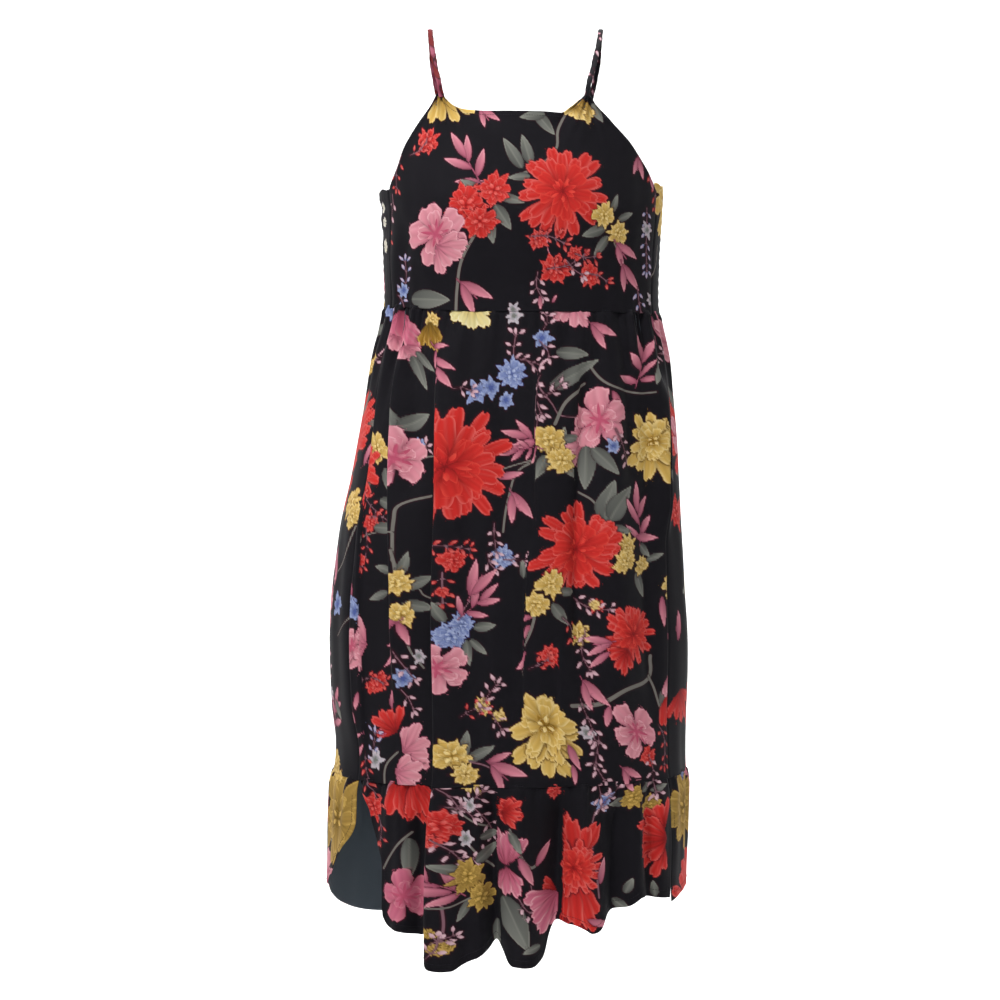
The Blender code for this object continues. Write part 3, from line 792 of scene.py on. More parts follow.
def fan(cloth, s, t, size, angle, chance, inks=("yellow_deep", "yellow", "yellow_rim"), spread=1.0, wide=0.15):
    """Half-open flower seen from the side, its petals spread about the angle."""
    petals = []
    for i, off in enumerate((-58, 50, -32, 26, -4)):
        long = size * (0.82 + 0.26 * ((i * 7) % 3) / 2)
        petals.append((s, t, angle + off * spread + chance.uniform(-5, 5), long, size * wide, "broad", *inks, 1.3, True))
    draw_petals(cloth, petals)


def ragged(cloth, s, t, size, angle, chance, inks, leaves=0):
    r = size / 2
    petals = rosette(s, t, r, angle, 9, 0.20, "lance", inks, 0.8, False, chance, 0.24)
    petals += rosette(s, t, r * 0.84, angle + 20, 7, 0.30, "notch", inks, 0.9, True, chance, 0.2)
    petals += rosette(s, t, r * 0.50, angle + 5, 6, 0.26, "lance", inks, 0.8, False, chance, 0.3)
    petals += rosette(s, t, r * 0.26, angle + 33, 4, 0.34, "lance", (inks[1], inks[2], inks[2]), 0.0, False, chance, 0.3, r * 0.08)
    draw_petals(cloth, petals)


def star(cloth, s, t, size, angle, chance, inks=("blue_deep", "blue", "blue_rim")):
    r = size / 2
    petals = rosette(s, t, r, angle, 6, 0.24, "lance", (inks[1], inks[1], inks[2]), 0.8, False, chance, 0.3)
    petals += rosette(s, t, r * 0.66, angle + 30, 5, 0.34, "notch", inks, 0.8, False, chance, 0.25)
    petals += rosette(s, t, r * 0.3, angle, 4, 0.34, "lance", (inks[0], inks[0], inks[1]), 0.0, False, chance)
    draw_petals(cloth, petals)


def leaf(cloth, s, t, size, angle, chance, inks=("leaf_deep", "leaf", "leaf_rim")):
    wide = size * chance.uniform(0.17, 0.22)
    draw_petals(cloth, [(s, t, angle, size, wide, "leaf", inks[0], inks[1], inks[2], 0.9, False)], 0.9)


def spray(cloth, s, t, size, angle, chance, steps=((0.0, -58, 0.44), (0.10, 46, 0.46), (0.26, -36, 0.50), (0.38, 30, 0.48), (0.46, -6, 0.52))):
    """Slender pink leaves set apart along a short stem."""
    c, d = math.cos(math.radians(angle)), math.sin(math.radians(angle))
    draw_line(cloth, [(s - c * size * 0.1, t - d * size * 0.1), (s + c * size * 0.5, t + d * size * 0.5)], 1.5, "sprig_deep")
    petals = []
    for k, off, long in steps:
        at = (s + c * size * k, t + d * size * k)
        length = size * long * chance.uniform(0.92, 1.08)
        petals.append((*at, angle + off + chance.uniform(-5, 5), length, length * 0.135, "lance", "sprig_deep", "sprig", "sprig_rim", 0.9, False))
    draw_petals(cloth, petals, 1.5)


def pair(cloth, s, t, size, angle, chance):
    spray(cloth, s, t, size * 1.2, angle, chance, ((0.0, -20, 0.78), (0.04, 19, 0.68)))


def buds(cloth, s, t, size, angle, chance, inks=("drop_deep", "drop", "drop")):
    """A thin branching twig, its ends tipped with slender drops."""
    c, d = math.cos(math.radians(angle)), math.sin(math.radians(angle))
    bow = size * chance.uniform(-0.16, 0.16)
    line = [
        (s - c * size / 2, t - d * size / 2),
        (s - d * bow, t + c * bow),
        (s + c * size / 2, t + d * size / 2),
    ]
    line = curve(line, 5)
    draw_line(cloth, line, 1.3, "mauve", 1.6)
    joints = max(2, int(round(size / 12.0)))
    petals = []
    for i in range(joints):
        k = (i + 0.7) / joints * (len(line) - 1)
        a, b = line[int(k)], line[min(int(k) + 1, len(line) - 1)]
        at = (a[0] + (b[0] - a[0]) * (k % 1), a[1] + (b[1] - a[1]) * (k % 1))
        for side in (-1, 1):
            turn = angle + side * chance.uniform(34, 66)
            out = chance.uniform(3.0, 6.0)
            e, f = math.cos(math.radians(turn)), math.sin(math.radians(turn))
            tip = (at[0] + e * out, at[1] + f * out)
            draw_line(cloth, [at, tip], 1.1, "mauve", 0.0)
            petals.append((*tip, turn, chance.uniform(6.5, 9.5), chance.uniform(1.5, 2.0), "lance", *inks, 0.0, False))
    tip = line[-1]
    petals.append((*tip, angle + chance.uniform(-15, 15), 8.5, 1.8, "lance", *inks, 0.0, False))
    draw_petals(cloth, petals, 1.5)


RED, YEL, BLU = ("red_deep", "red", "red_rim"), ("yellow_deep", "yellow", "yellow_rim"), ("blue_deep", "blue", "blue_rim")
GREY = ("leaf", "drop_grey", "drop")
KINDS = {
    "dahlia": dahlia,
    "peony": peony,
    "lily": lily,
    "fan": fan,
    "redfan": lambda c, s, t, z, a, r: fan(c, s, t, z, a, r, RED),
    "redlong": lambda c, s, t, z, a, r: fan(c, s, t, z, a, r, RED, 0.5, 0.13),
    # darker copies of the lily, peony and ragged flower: painted shade, laid low on the ruffle and on the back flap,
    # which lie in shade
    "shaded_lily": lambda c, s, t, z, a, r: lily(c, s, t, z, a, r, ("ochre", "yellow_dim", "yellow")),
    "shaded_peony": lambda c, s, t, z, a, r: peony(c, s, t, z, a, r, ("pink_deep", "pink_mid", "pink")),
    "shaded_rag": lambda c, s, t, z, a, r: ragged(c, s, t, z, a, r, ("ochre", "yellow_dim", "yellow")),
    # a dark red fan: painted shade, laid over part of the ruffle's red flower where its fold turns away from the light
    "shaded_red_fan": lambda c, s, t, z, a, r: fan(c, s, t, z, a, r, ("halo", "red_deep", "red"), 0.4, 0.12),
    "palerag": lambda c, s, t, z, a, r: ragged(c, s, t, z, a, r, ("drop_grey", "cream_rim", "pale")),
    "pinkfan": lambda c, s, t, z, a, r: fan(c, s, t, z, a, r, ("pink_mid", "pink", "pink_rim"), 1.0, 0.19),
    "deepfan": lambda c, s, t, z, a, r: fan(c, s, t, z, a, r, ("pink_deep", "pink_mid", "pink_rim"), 0.7, 0.17),
    "creamfan": lambda c, s, t, z, a, r: fan(c, s, t, z, a, r, ("yellow", "cream", "cream_rim"), 1.15, 0.22),
    "ochrefan": lambda c, s, t, z, a, r: fan(c, s, t, z, a, r, ("ochre", "yellow_deep", "yellow"), 0.6, 0.17),
    "redrag": lambda c, s, t, z, a, r: ragged(c, s, t, z, a, r, RED),
    "yelrag": lambda c, s, t, z, a, r: ragged(c, s, t, z, a, r, YEL),
    "blurag": lambda c, s, t, z, a, r: ragged(c, s, t, z, a, r, BLU),
    "star": star,
    "greystar": lambda c, s, t, z, a, r: star(c, s, t, z, a, r, GREY),
    "leaf": leaf,
    "pinkleaf": lambda c, s, t, z, a, r: draw_petals(
        c, [(s, t, a, z, z * 0.14, "lance", "sprig_deep", "sprig", "sprig_rim", 0.8, False)], 1.3
    ),
    "spray": spray,
    "pair": pair,
    "buds": buds,
    "redbuds": lambda c, s, t, z, a, r: buds(c, s, t, z, a, r, ("red_deep", "red_rim", "drop")),
    "bluebuds": lambda c, s, t, z, a, r: buds(c, s, t, z, a, r, ("blue", "drop", "drop")),
}

# Motifs of the front, rough places in view: kind, x, y, size, angle (0 right, 90 down)
BODICE_MOTIFS = (
    ("leaf", 535, 112, 30, 52), ("leaf", 545, 114, 26, 172), ("leaf", 592, 104, 22, 62),
    ("pair", 480, 108, 26, 58), ("pinkleaf", 560, 108, 12, 20),
    ("spray", 480, 182, 62, -118), ("leaf", 522, 168, 36, -120), ("leaf", 531, 164, 32, -105),
    ("leaf", 530, 176, 22, 175), ("leaf", 478, 206, 26, 205), ("leaf", 470, 218, 30, 165), ("leaf", 495, 205, 30, 55),
    ("leaf", 480, 190, 22, -150), ("leaf", 488, 218, 26, 75), ("leaf", 500, 196, 26, 15),
    ("redrag", 466, 205, 44, 10), ("redrag", 494, 190, 38, 30), ("redrag", 480, 221, 36, 50),
    ("dahlia", 563, 191, 92, 4), ("peony", 436, 234, 68, -60), ("pinkfan", 437, 246, 30, 30),
    ("leaf", 612, 212, 20, -70), ("leaf", 618, 220, 20, -25), ("leaf", 605, 228, 26, 160), ("leaf", 608, 236, 26, 125),
    ("yelrag", 604, 216, 28, 0), ("yelrag", 618, 233, 24, 25),
    ("pair", 616, 243, 32, 52), ("pair", 622, 264, 34, 70),
    ("redrag", 538, 239, 22, 0), ("redbuds", 547, 240, 36, 10), ("redrag", 554, 269, 32, 15), ("redbuds", 566, 262, 40, -20),
    ("redrag", 575, 253, 16, 0), ("redbuds", 586, 255, 22, 5), ("redrag", 590, 275, 24, 40), ("redbuds", 598, 278, 22, 20),
    ("buds", 540, 285, 26, 80), ("buds", 575, 268, 22, 40), ("pair", 460, 282, 40, 44),
    ("redrag", 428, 142, 28, 12), ("redbuds", 418, 148, 26, -30), ("redbuds", 399, 172, 34, 105),
    ("pair", 638, 156, 26, 94), ("redbuds", 652, 188, 40, 72), ("pinkleaf", 650, 172, 20, 70),
    ("bluebuds", 646, 240, 64, 88), ("greystar", 647, 230, 18, 0), ("bluebuds", 640, 305, 36, 80), ("greystar", 650, 300, 14, 0),
    ("bluebuds", 403, 280, 40, -80), ("star", 404, 290, 18, 0), ("leaf", 412, 299, 44, 4), 
    ("bluebuds", 402, 304, 22, 60), ("greystar", 513, 309, 14, 0), ("pinkleaf", 540, 296, 14, 88), ("pinkleaf", 552, 303, 10, -60),
    ("redbuds", 390, 225, 30, 85), ("buds", 392, 206, 24, 100),
    ("fan", 444, 92, 37, 72), ("fan", 583, 100, 24, 112), ("fan", 575, 106, 16, 96),
)
SKIRT_MOTIFS = (
    ("bluebuds", 390, 325, 26, -60), ("deepfan", 403, 312, 42, 98), ("pinkfan", 396, 336, 20, 130), ("pinkfan", 404, 346, 18, 84), ("leaf", 412, 356, 36, 80), ("leaf", 416, 352, 28, 50),
    ("yelrag", 432, 320, 18, 0), ("ochrefan", 430, 322, 30, 94), ("spray", 434, 346, 52, 62), ("creamfan", 471, 304, 27, 88), ("greystar", 514, 316, 18, 0),
    ("pinkfan", 572, 303, 26, 90), ("pair", 590, 323, 34, 42), ("buds", 545, 322, 16, -80), ("star", 542, 338, 22, 10),
    ("buds", 545, 350, 22, 60), ("buds", 515, 349, 30, -88), ("buds", 530, 362, 30, 15),
    ("blurag", 512, 374, 32, 0), ("star", 506, 400, 20, 25), ("star", 477, 392, 26, 0), ("star", 491, 388, 22, 30), ("buds", 463, 390, 18, 10),
    ("buds", 538, 395, 40, 78), ("leaf", 556, 352, 36, 4), ("leaf", 550, 388, 50, -36), ("buds", 536, 420, 20, 80),
    ("buds", 552, 392, 20, -40), ("spray", 637, 383, 54, -104), ("pinkleaf", 640, 380, 22, -8), ("pinkleaf", 613, 391, 28, 58),
    ("pinkfan", 588, 442, 34, 175), ("peony", 600, 420, 62, 20), ("buds", 622, 445, 36, 62), ("star", 613, 446, 16, 0),
    ("leaf", 586, 446, 44, 88), ("leaf", 592, 448, 38, 45), ("leaf", 560, 448, 22, -80), ("leaf", 562, 440, 20, -10), ("leaf", 556, 452, 34, 50), ("leaf", 548, 455, 26, 110),
    ("yelrag", 549, 440, 33, 0), ("yelrag", 562, 460, 31, 20), ("spray", 537, 447, 58, -158), ("spray", 532, 448, 34, 172),
    ("fan", 653, 442, 42, 98), ("fan", 652, 444, 34, -94), ("lily", 653, 441, 50, 10),
    ("pinkleaf", 498, 478, 26, -12), ("pair", 511, 492, 36, 62), ("dahlia", 446, 467, 114, 0), 
    ("leaf", 606, 524, 46, -74), ("leaf", 610, 520, 44, -50), ("spray", 640, 540, 60, -84), ("pinkleaf", 636, 537, 30, 2), ("leaf", 612, 528, 22, 10),
    ("leaf", 640, 545, 22, 30), ("yelrag", 627, 546, 24, 0), ("dahlia", 576, 549, 92, 7),
    ("leaf", 395, 432, 40, -98), ("leaf", 398, 428, 36, -22), ("star", 421, 444, 14, 0), ("buds", 420, 450, 20, -20),
    ("yelrag", 377, 448, 35, 0), ("leaf", 372, 468, 26, 100), ("leaf", 385, 468, 26, 70), ("peony", 393, 458, 62, 24),
    ("dahlia", 346, 468, 78, 0), ("redbuds", 368, 500, 36, 40), ("redrag", 371, 523, 22, 0), ("redbuds", 380, 520, 26, 10), ("leaf", 380, 500, 28, 20),
    ("redbuds", 364, 548, 40, 95), ("redrag", 361, 560, 16, 0), ("leaf", 374, 527, 30, 4),
    ("redrag", 454, 561, 26, 5), ("redbuds", 450, 548, 36, 5), ("redbuds", 442, 588, 34, 88), ("redrag", 442, 592, 11, 0),
    ("blurag", 503, 557, 24, 0), ("buds", 495, 538, 30, 84), ("buds", 515, 560, 26, 4), ("buds", 492, 562, 20, 60),
    ("leaf", 636, 572, 32, 60), ("yelrag", 626, 562, 28, 0), ("yelrag", 641, 565, 24, 30), ("leaf", 646, 560, 20, -20),
    ("leaf", 672, 586, 34, 60), ("lily", 676, 588, 34, 60), ("pinkleaf", 662, 596, 34, 88), ("pinkleaf", 668, 640, 32, -68), ("pinkleaf", 676, 655, 30, -60),
    ("leaf", 524, 578, 20, -100), ("leaf", 558, 592, 24, 0), ("leaf", 552, 604, 28, 52),
    ("yelrag", 551, 584, 31, 0), ("yelrag", 536, 604, 28, 20), ("pinkleaf", 532, 617, 24, 172), ("pinkleaf", 530, 625, 24, 125), ("pinkleaf", 526, 652, 34, 145),
    ("yelrag", 579, 634, 26, 0), ("redbuds", 568, 628, 26, 60), ("redrag", 596, 605, 16, 0), ("buds", 590, 603, 42, 20), ("yelrag", 595, 605, 12, 0), ("buds", 588, 650, 46, 82),
    ("redrag", 550, 656, 26, 0), ("redbuds", 540, 664, 20, -30), ("dahlia", 633, 634, 66, 3), ("redfan", 628, 650, 26, 130), ("pair", 612, 642, 32, 170), ("pinkleaf", 610, 652, 26, 140),
    ("leaf", 390, 572, 24, 195), ("leaf", 402, 588, 34, -22), ("leaf", 402, 604, 34, 8), ("leaf", 388, 592, 26, 160), ("leaf", 400, 575, 26, -80),
    ("yelrag", 396, 583, 28, 0), ("yelrag", 402, 615, 29, 15), ("spray", 398, 622, 66, 132), ("pinkleaf", 396, 622, 42, 172),
    ("star", 344, 600, 30, 0), ("star", 355, 612, 26, 20), ("leaf", 346, 616, 24, 110), ("pinkleaf", 352, 595, 36, -118), ("pinkfan", 366, 645, 40, 182), ("peony", 352, 646, 42, 0),
    ("star", 403, 678, 24, 0), ("redrag", 377, 683, 30, 0), ("redbuds", 372, 682, 34, 5), ("buds", 405, 665, 36, 60), ("greystar", 419, 656, 16, 0), ("buds", 408, 700, 26, 60),
    ("leaf", 444, 622, 26, -115), ("leaf", 466, 640, 28, 82), ("leaf", 474, 628, 24, -8), ("leaf", 470, 640, 24, 40),
    ("blurag", 451, 636, 32, 0), ("blurag", 463, 624, 26, 20), ("spray", 462, 616, 54, -40), ("pair", 470, 596, 44, -62),
    ("peony", 436, 668, 54, 12),
    ("yelrag", 484, 706, 20, 0), ("redbuds", 474, 712, 30, -20), ("buds", 488, 700, 40, -60), ("yelrag", 500, 716, 15, 0), ("buds", 497, 722, 20, 60),
    ("redfan", 396, 732, 32, -128), ("pinkfan", 404, 752, 34, -24), ("pinkfan", 396, 772, 30, 10),
    ("pinkleaf", 392, 708, 22, -100), ("fan", 545, 732, 52, 94), ("fan", 552, 730, 42, 74), ("lily", 545, 725, 76, 8), ("pinkleaf", 568, 745, 30, 66),
    ("leaf", 462, 758, 30, -78), ("leaf", 468, 760, 32, -28), ("yelrag", 452, 756, 37, 0), ("yelrag", 466, 774, 28, 20), ("pair", 490, 764, 44, 42), ("pinkleaf", 488, 762, 26, -22),
    ("greystar", 587, 733, 22, 0), ("buds", 587, 720, 46, 88), ("buds", 598, 750, 30, 100), ("pinkleaf", 610, 706, 26, 118), ("pair", 582, 680, 42, 64),
    ("peony", 636, 731, 60, 6), ("redrag", 648, 756, 22, 0), ("redbuds", 662, 745, 46, 86), ("leaf", 662, 690, 40, 84), ("redfan", 672, 690, 50, 72), ("pinkfan", 668, 676, 24, 60),
    ("pinkleaf", 345, 705, 26, 50), ("leaf", 338, 712, 22, 30), ("pinkleaf", 358, 692, 20, 80), ("pinkleaf", 344, 744, 22, -35), ("pinkleaf", 352, 764, 24, -72),
    ("bluebuds", 374, 750, 40, -80), ("greystar", 376, 760, 22, 0), ("redbuds", 366, 765, 30, 80), ("greystar", 340, 768, 14, 0),
    ("pair", 622, 768, 30, 50), ("buds", 652, 768, 30, 80), ("buds", 600, 772, 24, 60), ("pinkleaf", 572, 765, 22, 80),
    ("leaf", 664, 352, 34, 80),
)
# the darker copies of motifs in this table are painted shade, for the ruffle's lower, less lit cloth
RUFFLE_MOTIFS = (
    ("pinkfan", 396, 774, 30, 60), ("redlong", 404, 772, 54, 94), ("redlong", 414, 776, 48, 78), ("redbuds", 372, 790, 30, 70), ("redrag", 374, 806, 30, 0), ("redbuds", 380, 828, 26, 80), ("leaf", 366, 818, 18, 120),
    ("leaf", 409, 838, 44, 88), ("shaded_peony", 404, 896, 60, 20),
    ("fan", 470, 774, 22, 100), ("buds", 441, 796, 30, 60), ("buds", 470, 800, 40, -30), ("buds", 482, 818, 44, 60), ("greystar", 470, 805, 16, 0), ("buds", 462, 812, 26, 30),
    ("redrag", 439, 826, 34, 0), ("redrag", 430, 843, 16, 0), ("buds", 448, 850, 30, 50), ("leaf", 480, 838, 22, -15), ("greystar", 466, 838, 20, 0), ("buds", 470, 858, 30, -20),
    ("spray", 460, 893, 66, -148), ("pinkleaf", 452, 892, 34, 182), ("leaf", 462, 872, 26, 200), ("leaf", 470, 900, 26, 120), ("leaf", 476, 862, 30, -40),
    ("shaded_rag", 468, 876, 37, 0), ("shaded_rag", 482, 896, 31, 25),
    ("redrag", 510, 812, 32, 0), ("redfan", 502, 812, 22, 0), ("deepfan", 506, 864, 36, -88), ("deepfan", 507, 868, 30, 90), ("leaf", 503, 896, 62, 64), ("leaf", 498, 918, 30, 90),
    ("pinkleaf", 519, 858, 34, 62), ("pinkleaf", 536, 866, 30, -58), ("leaf", 510, 832, 26, 62),
    # the dark red fan in this row is painted shade on the left of the red flower
    ("buds", 530, 908, 30, 40), ("buds", 534, 895, 22, 70), ("redfan", 556, 890, 24, 172), ("deepfan", 557, 892, 42, 146), ("shaded_red_fan", 566, 876, 58, 92), ("redlong", 575, 868, 56, -90), ("redlong", 574, 872, 60, 88), ("dahlia", 574, 868, 58, 0),
    ("star", 603, 802, 24, 0), ("buds", 600, 792, 36, 60), ("buds", 608, 800, 30, -60), ("pinkleaf", 600, 884, 28, -80), ("pinkleaf", 588, 920, 26, 18), ("leaf", 612, 898, 22, 40),
    ("leaf", 642, 792, 24, -50), ("leaf", 632, 800, 24, 170), ("leaf", 650, 790, 20, -15), ("shaded_rag", 634, 797, 26, 0), ("shaded_rag", 647, 805, 26, 20),
    ("redfan", 664, 828, 34, 226), ("redfan", 664, 846, 32, 138), ("redfan", 666, 838, 33, 184), ("pair", 622, 776, 28, 30), ("buds", 656, 782, 26, 70), ("redrag", 554, 790, 18, 0),
    ("shaded_rag", 428, 934, 12, 0), ("shaded_rag", 437, 950, 15, 0), ("shaded_rag", 449, 946, 13, 20), ("buds", 430, 950, 22, -70), ("buds", 444, 940, 18, -30),
    ("leaf", 625, 893, 18, -70), ("leaf", 655, 896, 18, -100), ("leaf", 540, 945, 20, 160),
)
# Motifs of the back panels where they show past the side seams in front
SKIRT_BACK_MOTIFS = (
    ("leaf", 670, 352, 40, 82), ("leaf", 668, 386, 34, 84), ("peony", 680, 440, 52, 0), ("leaf", 672, 470, 30, 70), ("redrag", 676, 512, 36, 0),
    ("lily", 684, 588, 44, 30), ("pinkleaf", 678, 640, 34, -80), ("redfan", 680, 690, 40, 80), ("redfan", 344, 472, 46, 86), ("star", 338, 604, 26, 0),
    ("pinkleaf", 338, 560, 28, 80), ("leaf", 336, 700, 24, 60), ("pinkleaf", 338, 744, 22, -60), ("leaf", 372, 392, 26, 110),
)
BODICE_BACK_MOTIFS = (
    ("palerag", 384, 208, 13, 0), ("palerag", 385, 222, 11, 30), ("palerag", 386, 246, 15, 10), ("palerag", 384, 258, 10, 0),
    ("buds", 660, 240, 34, 86), ("pinkleaf", 656, 300, 22, 70), ("buds", 388, 320, 26, 80),
)
# the back ruffle's lilies are darker copies: painted shade where the back flap shows in shade past the sides
RUFFLE_BACK_MOTIFS = (
    ("shaded_lily", 338, 818, 96, 20),
    ("shaded_lily", 684, 806, 84, 10),
)
BACK_MOTIFS = {"bodice_back": BODICE_BACK_MOTIFS, "skirt_back": SKIRT_BACK_MOTIFS, "ruffle_back": RUFFLE_BACK_MOTIFS}
# Stems in view: ink, width in mm, then points
BODICE_STEMS = (
    ("stem", 3.2, ((488, 180), (515, 176), (540, 165), (556, 149), (558, 130), (568, 110))),
    ("stem", 3.6, ((474, 236), (461, 262), (457, 290), (456, 312))),
    ("sprig", 1.2, ((548, 228), (548, 250), (556, 262))),
    ("stem", 1.6, ((614, 243), (621, 258), (626, 270))),
    ("sprig", 1.2, ((470, 178), (486, 182), (498, 184))),
)
SKIRT_STEMS = (
    ("mauve", 1.6, ((524, 358), (538, 384), (552, 404), (562, 416), (584, 417))),
    ("stem", 2.4, ((588, 364), (608, 384), (636, 393), (656, 392))),
    ("stem", 4.2, ((584, 384), (566, 402), (555, 424))),
    ("stem", 2.8, ((536, 457), (519, 470), (508, 500), (503, 532))),
    ("stem", 2.4, ((578, 492), (592, 500), (602, 512))),
    ("stem", 2.2, ((500, 470), (522, 463), (536, 456))),
    ("stem", 3.0, ((432, 496), (402, 504), (393, 522), (392, 560))),
    ("stem", 2.0, ((362, 540), (380, 532), (392, 532))),
    ("stem", 2.2, ((434, 456), (424, 458), (416, 462))),
    ("stem", 3.0, ((390, 550), (393, 562), (395, 574))),
    ("stem", 2.6, ((403, 632), (411, 652), (424, 668))),
    ("mauve", 1.8, ((490, 572), (474, 594), (460, 616))),
    ("stem", 2.6, ((534, 618), (527, 640), (523, 672))),
    ("stem", 5.0, ((650, 656), (648, 678), (626, 690), (600, 704), (572, 706))),
    ("stem", 3.4, ((648, 676), (655, 692), (662, 716))),
    ("stem", 2.0, ((420, 590), (430, 598), (440, 604))),
    ("mauve", 2.0, ((470, 762), (490, 768), (500, 786))),
    ("stem", 2.8, ((398, 752), (386, 766), (384, 792))),
)
RUFFLE_STEMS = (
    ("stem", 2.8, ((412, 832), (400, 842), (390, 856), (384, 868))),
    ("stem", 2.2, ((450, 808), (470, 820), (490, 826))),
    ("stem", 3.4, ((510, 830), (518, 852), (532, 868), (546, 848))),
    ("mauve", 1.8, ((595, 812), (592, 846), (596, 870), (599, 898))),
    ("mauve", 2.0, ((440, 902), (443, 926), (438, 950))),
    ("stem", 2.0, ((424, 908), (446, 908), (470, 898))),
    ("stem", 2.6, ((470, 846), (482, 858), (494, 866))),
)
# Motifs of the unseen panels, charted on a half-drop repeat: kind, across, down, size, angle, all in mm
REPEAT_WIDE, REPEAT_TALL = 300.0, 330.0
REPEAT_MOTIFS = (
    ("leaf", 92, 96, 48, 60), ("leaf", 60, 110, 44, 150), ("leaf", 100, 60, 40, -40), ("dahlia", 70, 70, 122, 5),
    ("leaf", 196, 30, 40, -120), ("leaf", 226, 62, 40, 40), ("peony", 210, 40, 84, 30), ("spray", 150, 104, 66, -60),
    ("yelrag", 150, 150, 40, 0), ("yelrag", 168, 168, 33, 20), ("leaf", 130, 160, 34, 160), ("leaf", 180, 152, 34, -30),
    ("star", 250, 112, 32, 0), ("star", 268, 100, 26, 20), ("buds", 252, 134, 44, 70), ("redrag", 30, 158, 34, 0),
    ("redbuds", 44, 176, 44, 30), ("redrag", 60, 190, 24, 30), ("lily", 232, 206, 108, 12), ("leaf", 190, 236, 40, 150),
    ("pair", 128, 204, 50, 60), ("spray", 96, 232, 70, 120), ("blurag", 30, 232, 40, 0), ("star", 52, 246, 28, 0),
    ("leaf", 20, 250, 34, 130), ("peony", 118, 284, 76, 0), ("buds", 180, 296, 44, -40), ("redrag", 204, 290, 34, 0),
    ("yelrag", 36, 306, 31, 0), ("buds", 60, 300, 36, -20), ("pinkleaf", 268, 284, 40, 70), ("leaf", 250, 290, 38, 110),
    ("greystar", 150, 60, 20, 0), ("buds", 140, 32, 40, -80), ("yelrag", 276, 12, 26, 0), ("pair", 262, 166, 40, -40),
)
REPEAT_STEMS = (
    ("stem", 3.4, ((96, 120), (110, 160), (100, 200), (94, 232))),
    ("stem", 2.6, ((226, 78), (240, 110), (232, 150))),
    ("stem", 3.0, ((180, 180), (172, 220), (140, 250))),
    ("mauve", 1.8, ((60, 196), (80, 214), (110, 222))),
    ("stem", 2.6, ((210, 262), (206, 290), (180, 316))),
)


def view_of(p):
    """Where points show, in the photo's pixels."""
    depth = (p[..., 1] - EYE[1]) / -EYE[1]
    x = 500 + (p[..., 0] - EYE[0]) / MM_PER_PX / depth
    y = 500 - (p[..., 2] - EYE[2]) / MM_PER_PX / depth
    return x, y


def print_front(cloth, p, normals, motifs, stems):
    seen_x, seen_y = (k.ravel() for k in view_of(p))
    away = (normals[..., 1].ravel() > 0.1) * 400.0
    across, down = p.shape[1], p.shape[0]

    def place(x, y):
        """Flat place of a view point. Beyond the panel's edge it carries on by the distance left."""
        far = (seen_x - x) ** 2 + (seen_y - y) ** 2 + away
        k = int(np.argmin(far))
        return cloth.s[k] + (x - seen_x[k]) * 1.22, cloth.t[k] + (y - seen_y[k]) * 1.22

    for ink, wide, points in stems:
        draw_line(cloth, curve([place(*q) for q in points]), wide, ink)
    for n, (kind, x, y, size, angle) in enumerate(motifs):
        chance = np.random.RandomState(100 + n)
        s, t = place(x, y)
        KINDS[kind](cloth, s, t, size * (1.22 if y < 560 else 1.13), angle, chance)


def print_repeat(cloth, shift_s, shift_t, bare=-70.0):
    s0, s1 = cloth.s.min() - 70, cloth.s.max() + 70
    t0, t1 = cloth.t.min() - 70, cloth.t.max() + 70
    for layer in (0, 1):
        column = -3
        for column in range(-4, 5):
            for row in range(-3, 5):
                left = column * REPEAT_WIDE + shift_s
                top = row * REPEAT_TALL + shift_t + (column % 2) * REPEAT_TALL / 2
                if left > s1 or left + REPEAT_WIDE < s0 or top > t1 or top + REPEAT_TALL < t0:
                    continue
                if layer == 0:
                    for ink, wide, points in REPEAT_STEMS:
                        draw_line(cloth, curve([(left + a, top + b) for a, b in points]), wide, ink)
                else:
                    for n, (kind, a, b, size, angle) in enumerate(REPEAT_MOTIFS):
                        s, t = left + a, top + b
                        if s0 + 70 + bare < s < s1 - 70 - bare and t0 < t < t1:
                            chance = np.random.RandomState(500 + n + 40 * (row % 3))
                            KINDS[kind](cloth, s, t, size, angle + 25 * (row % 2), chance)


# ------------------------------------------------------------------ materials


def node(tree, kind, **inputs):
    made = tree.nodes.new(kind)
    for name, value in inputs.items():
        if name in ("operation", "attribute_name", "data_type", "interpolation_type", "wave_type", "bands_direction", "vector_type"):
            setattr(made, name, value)
    return made


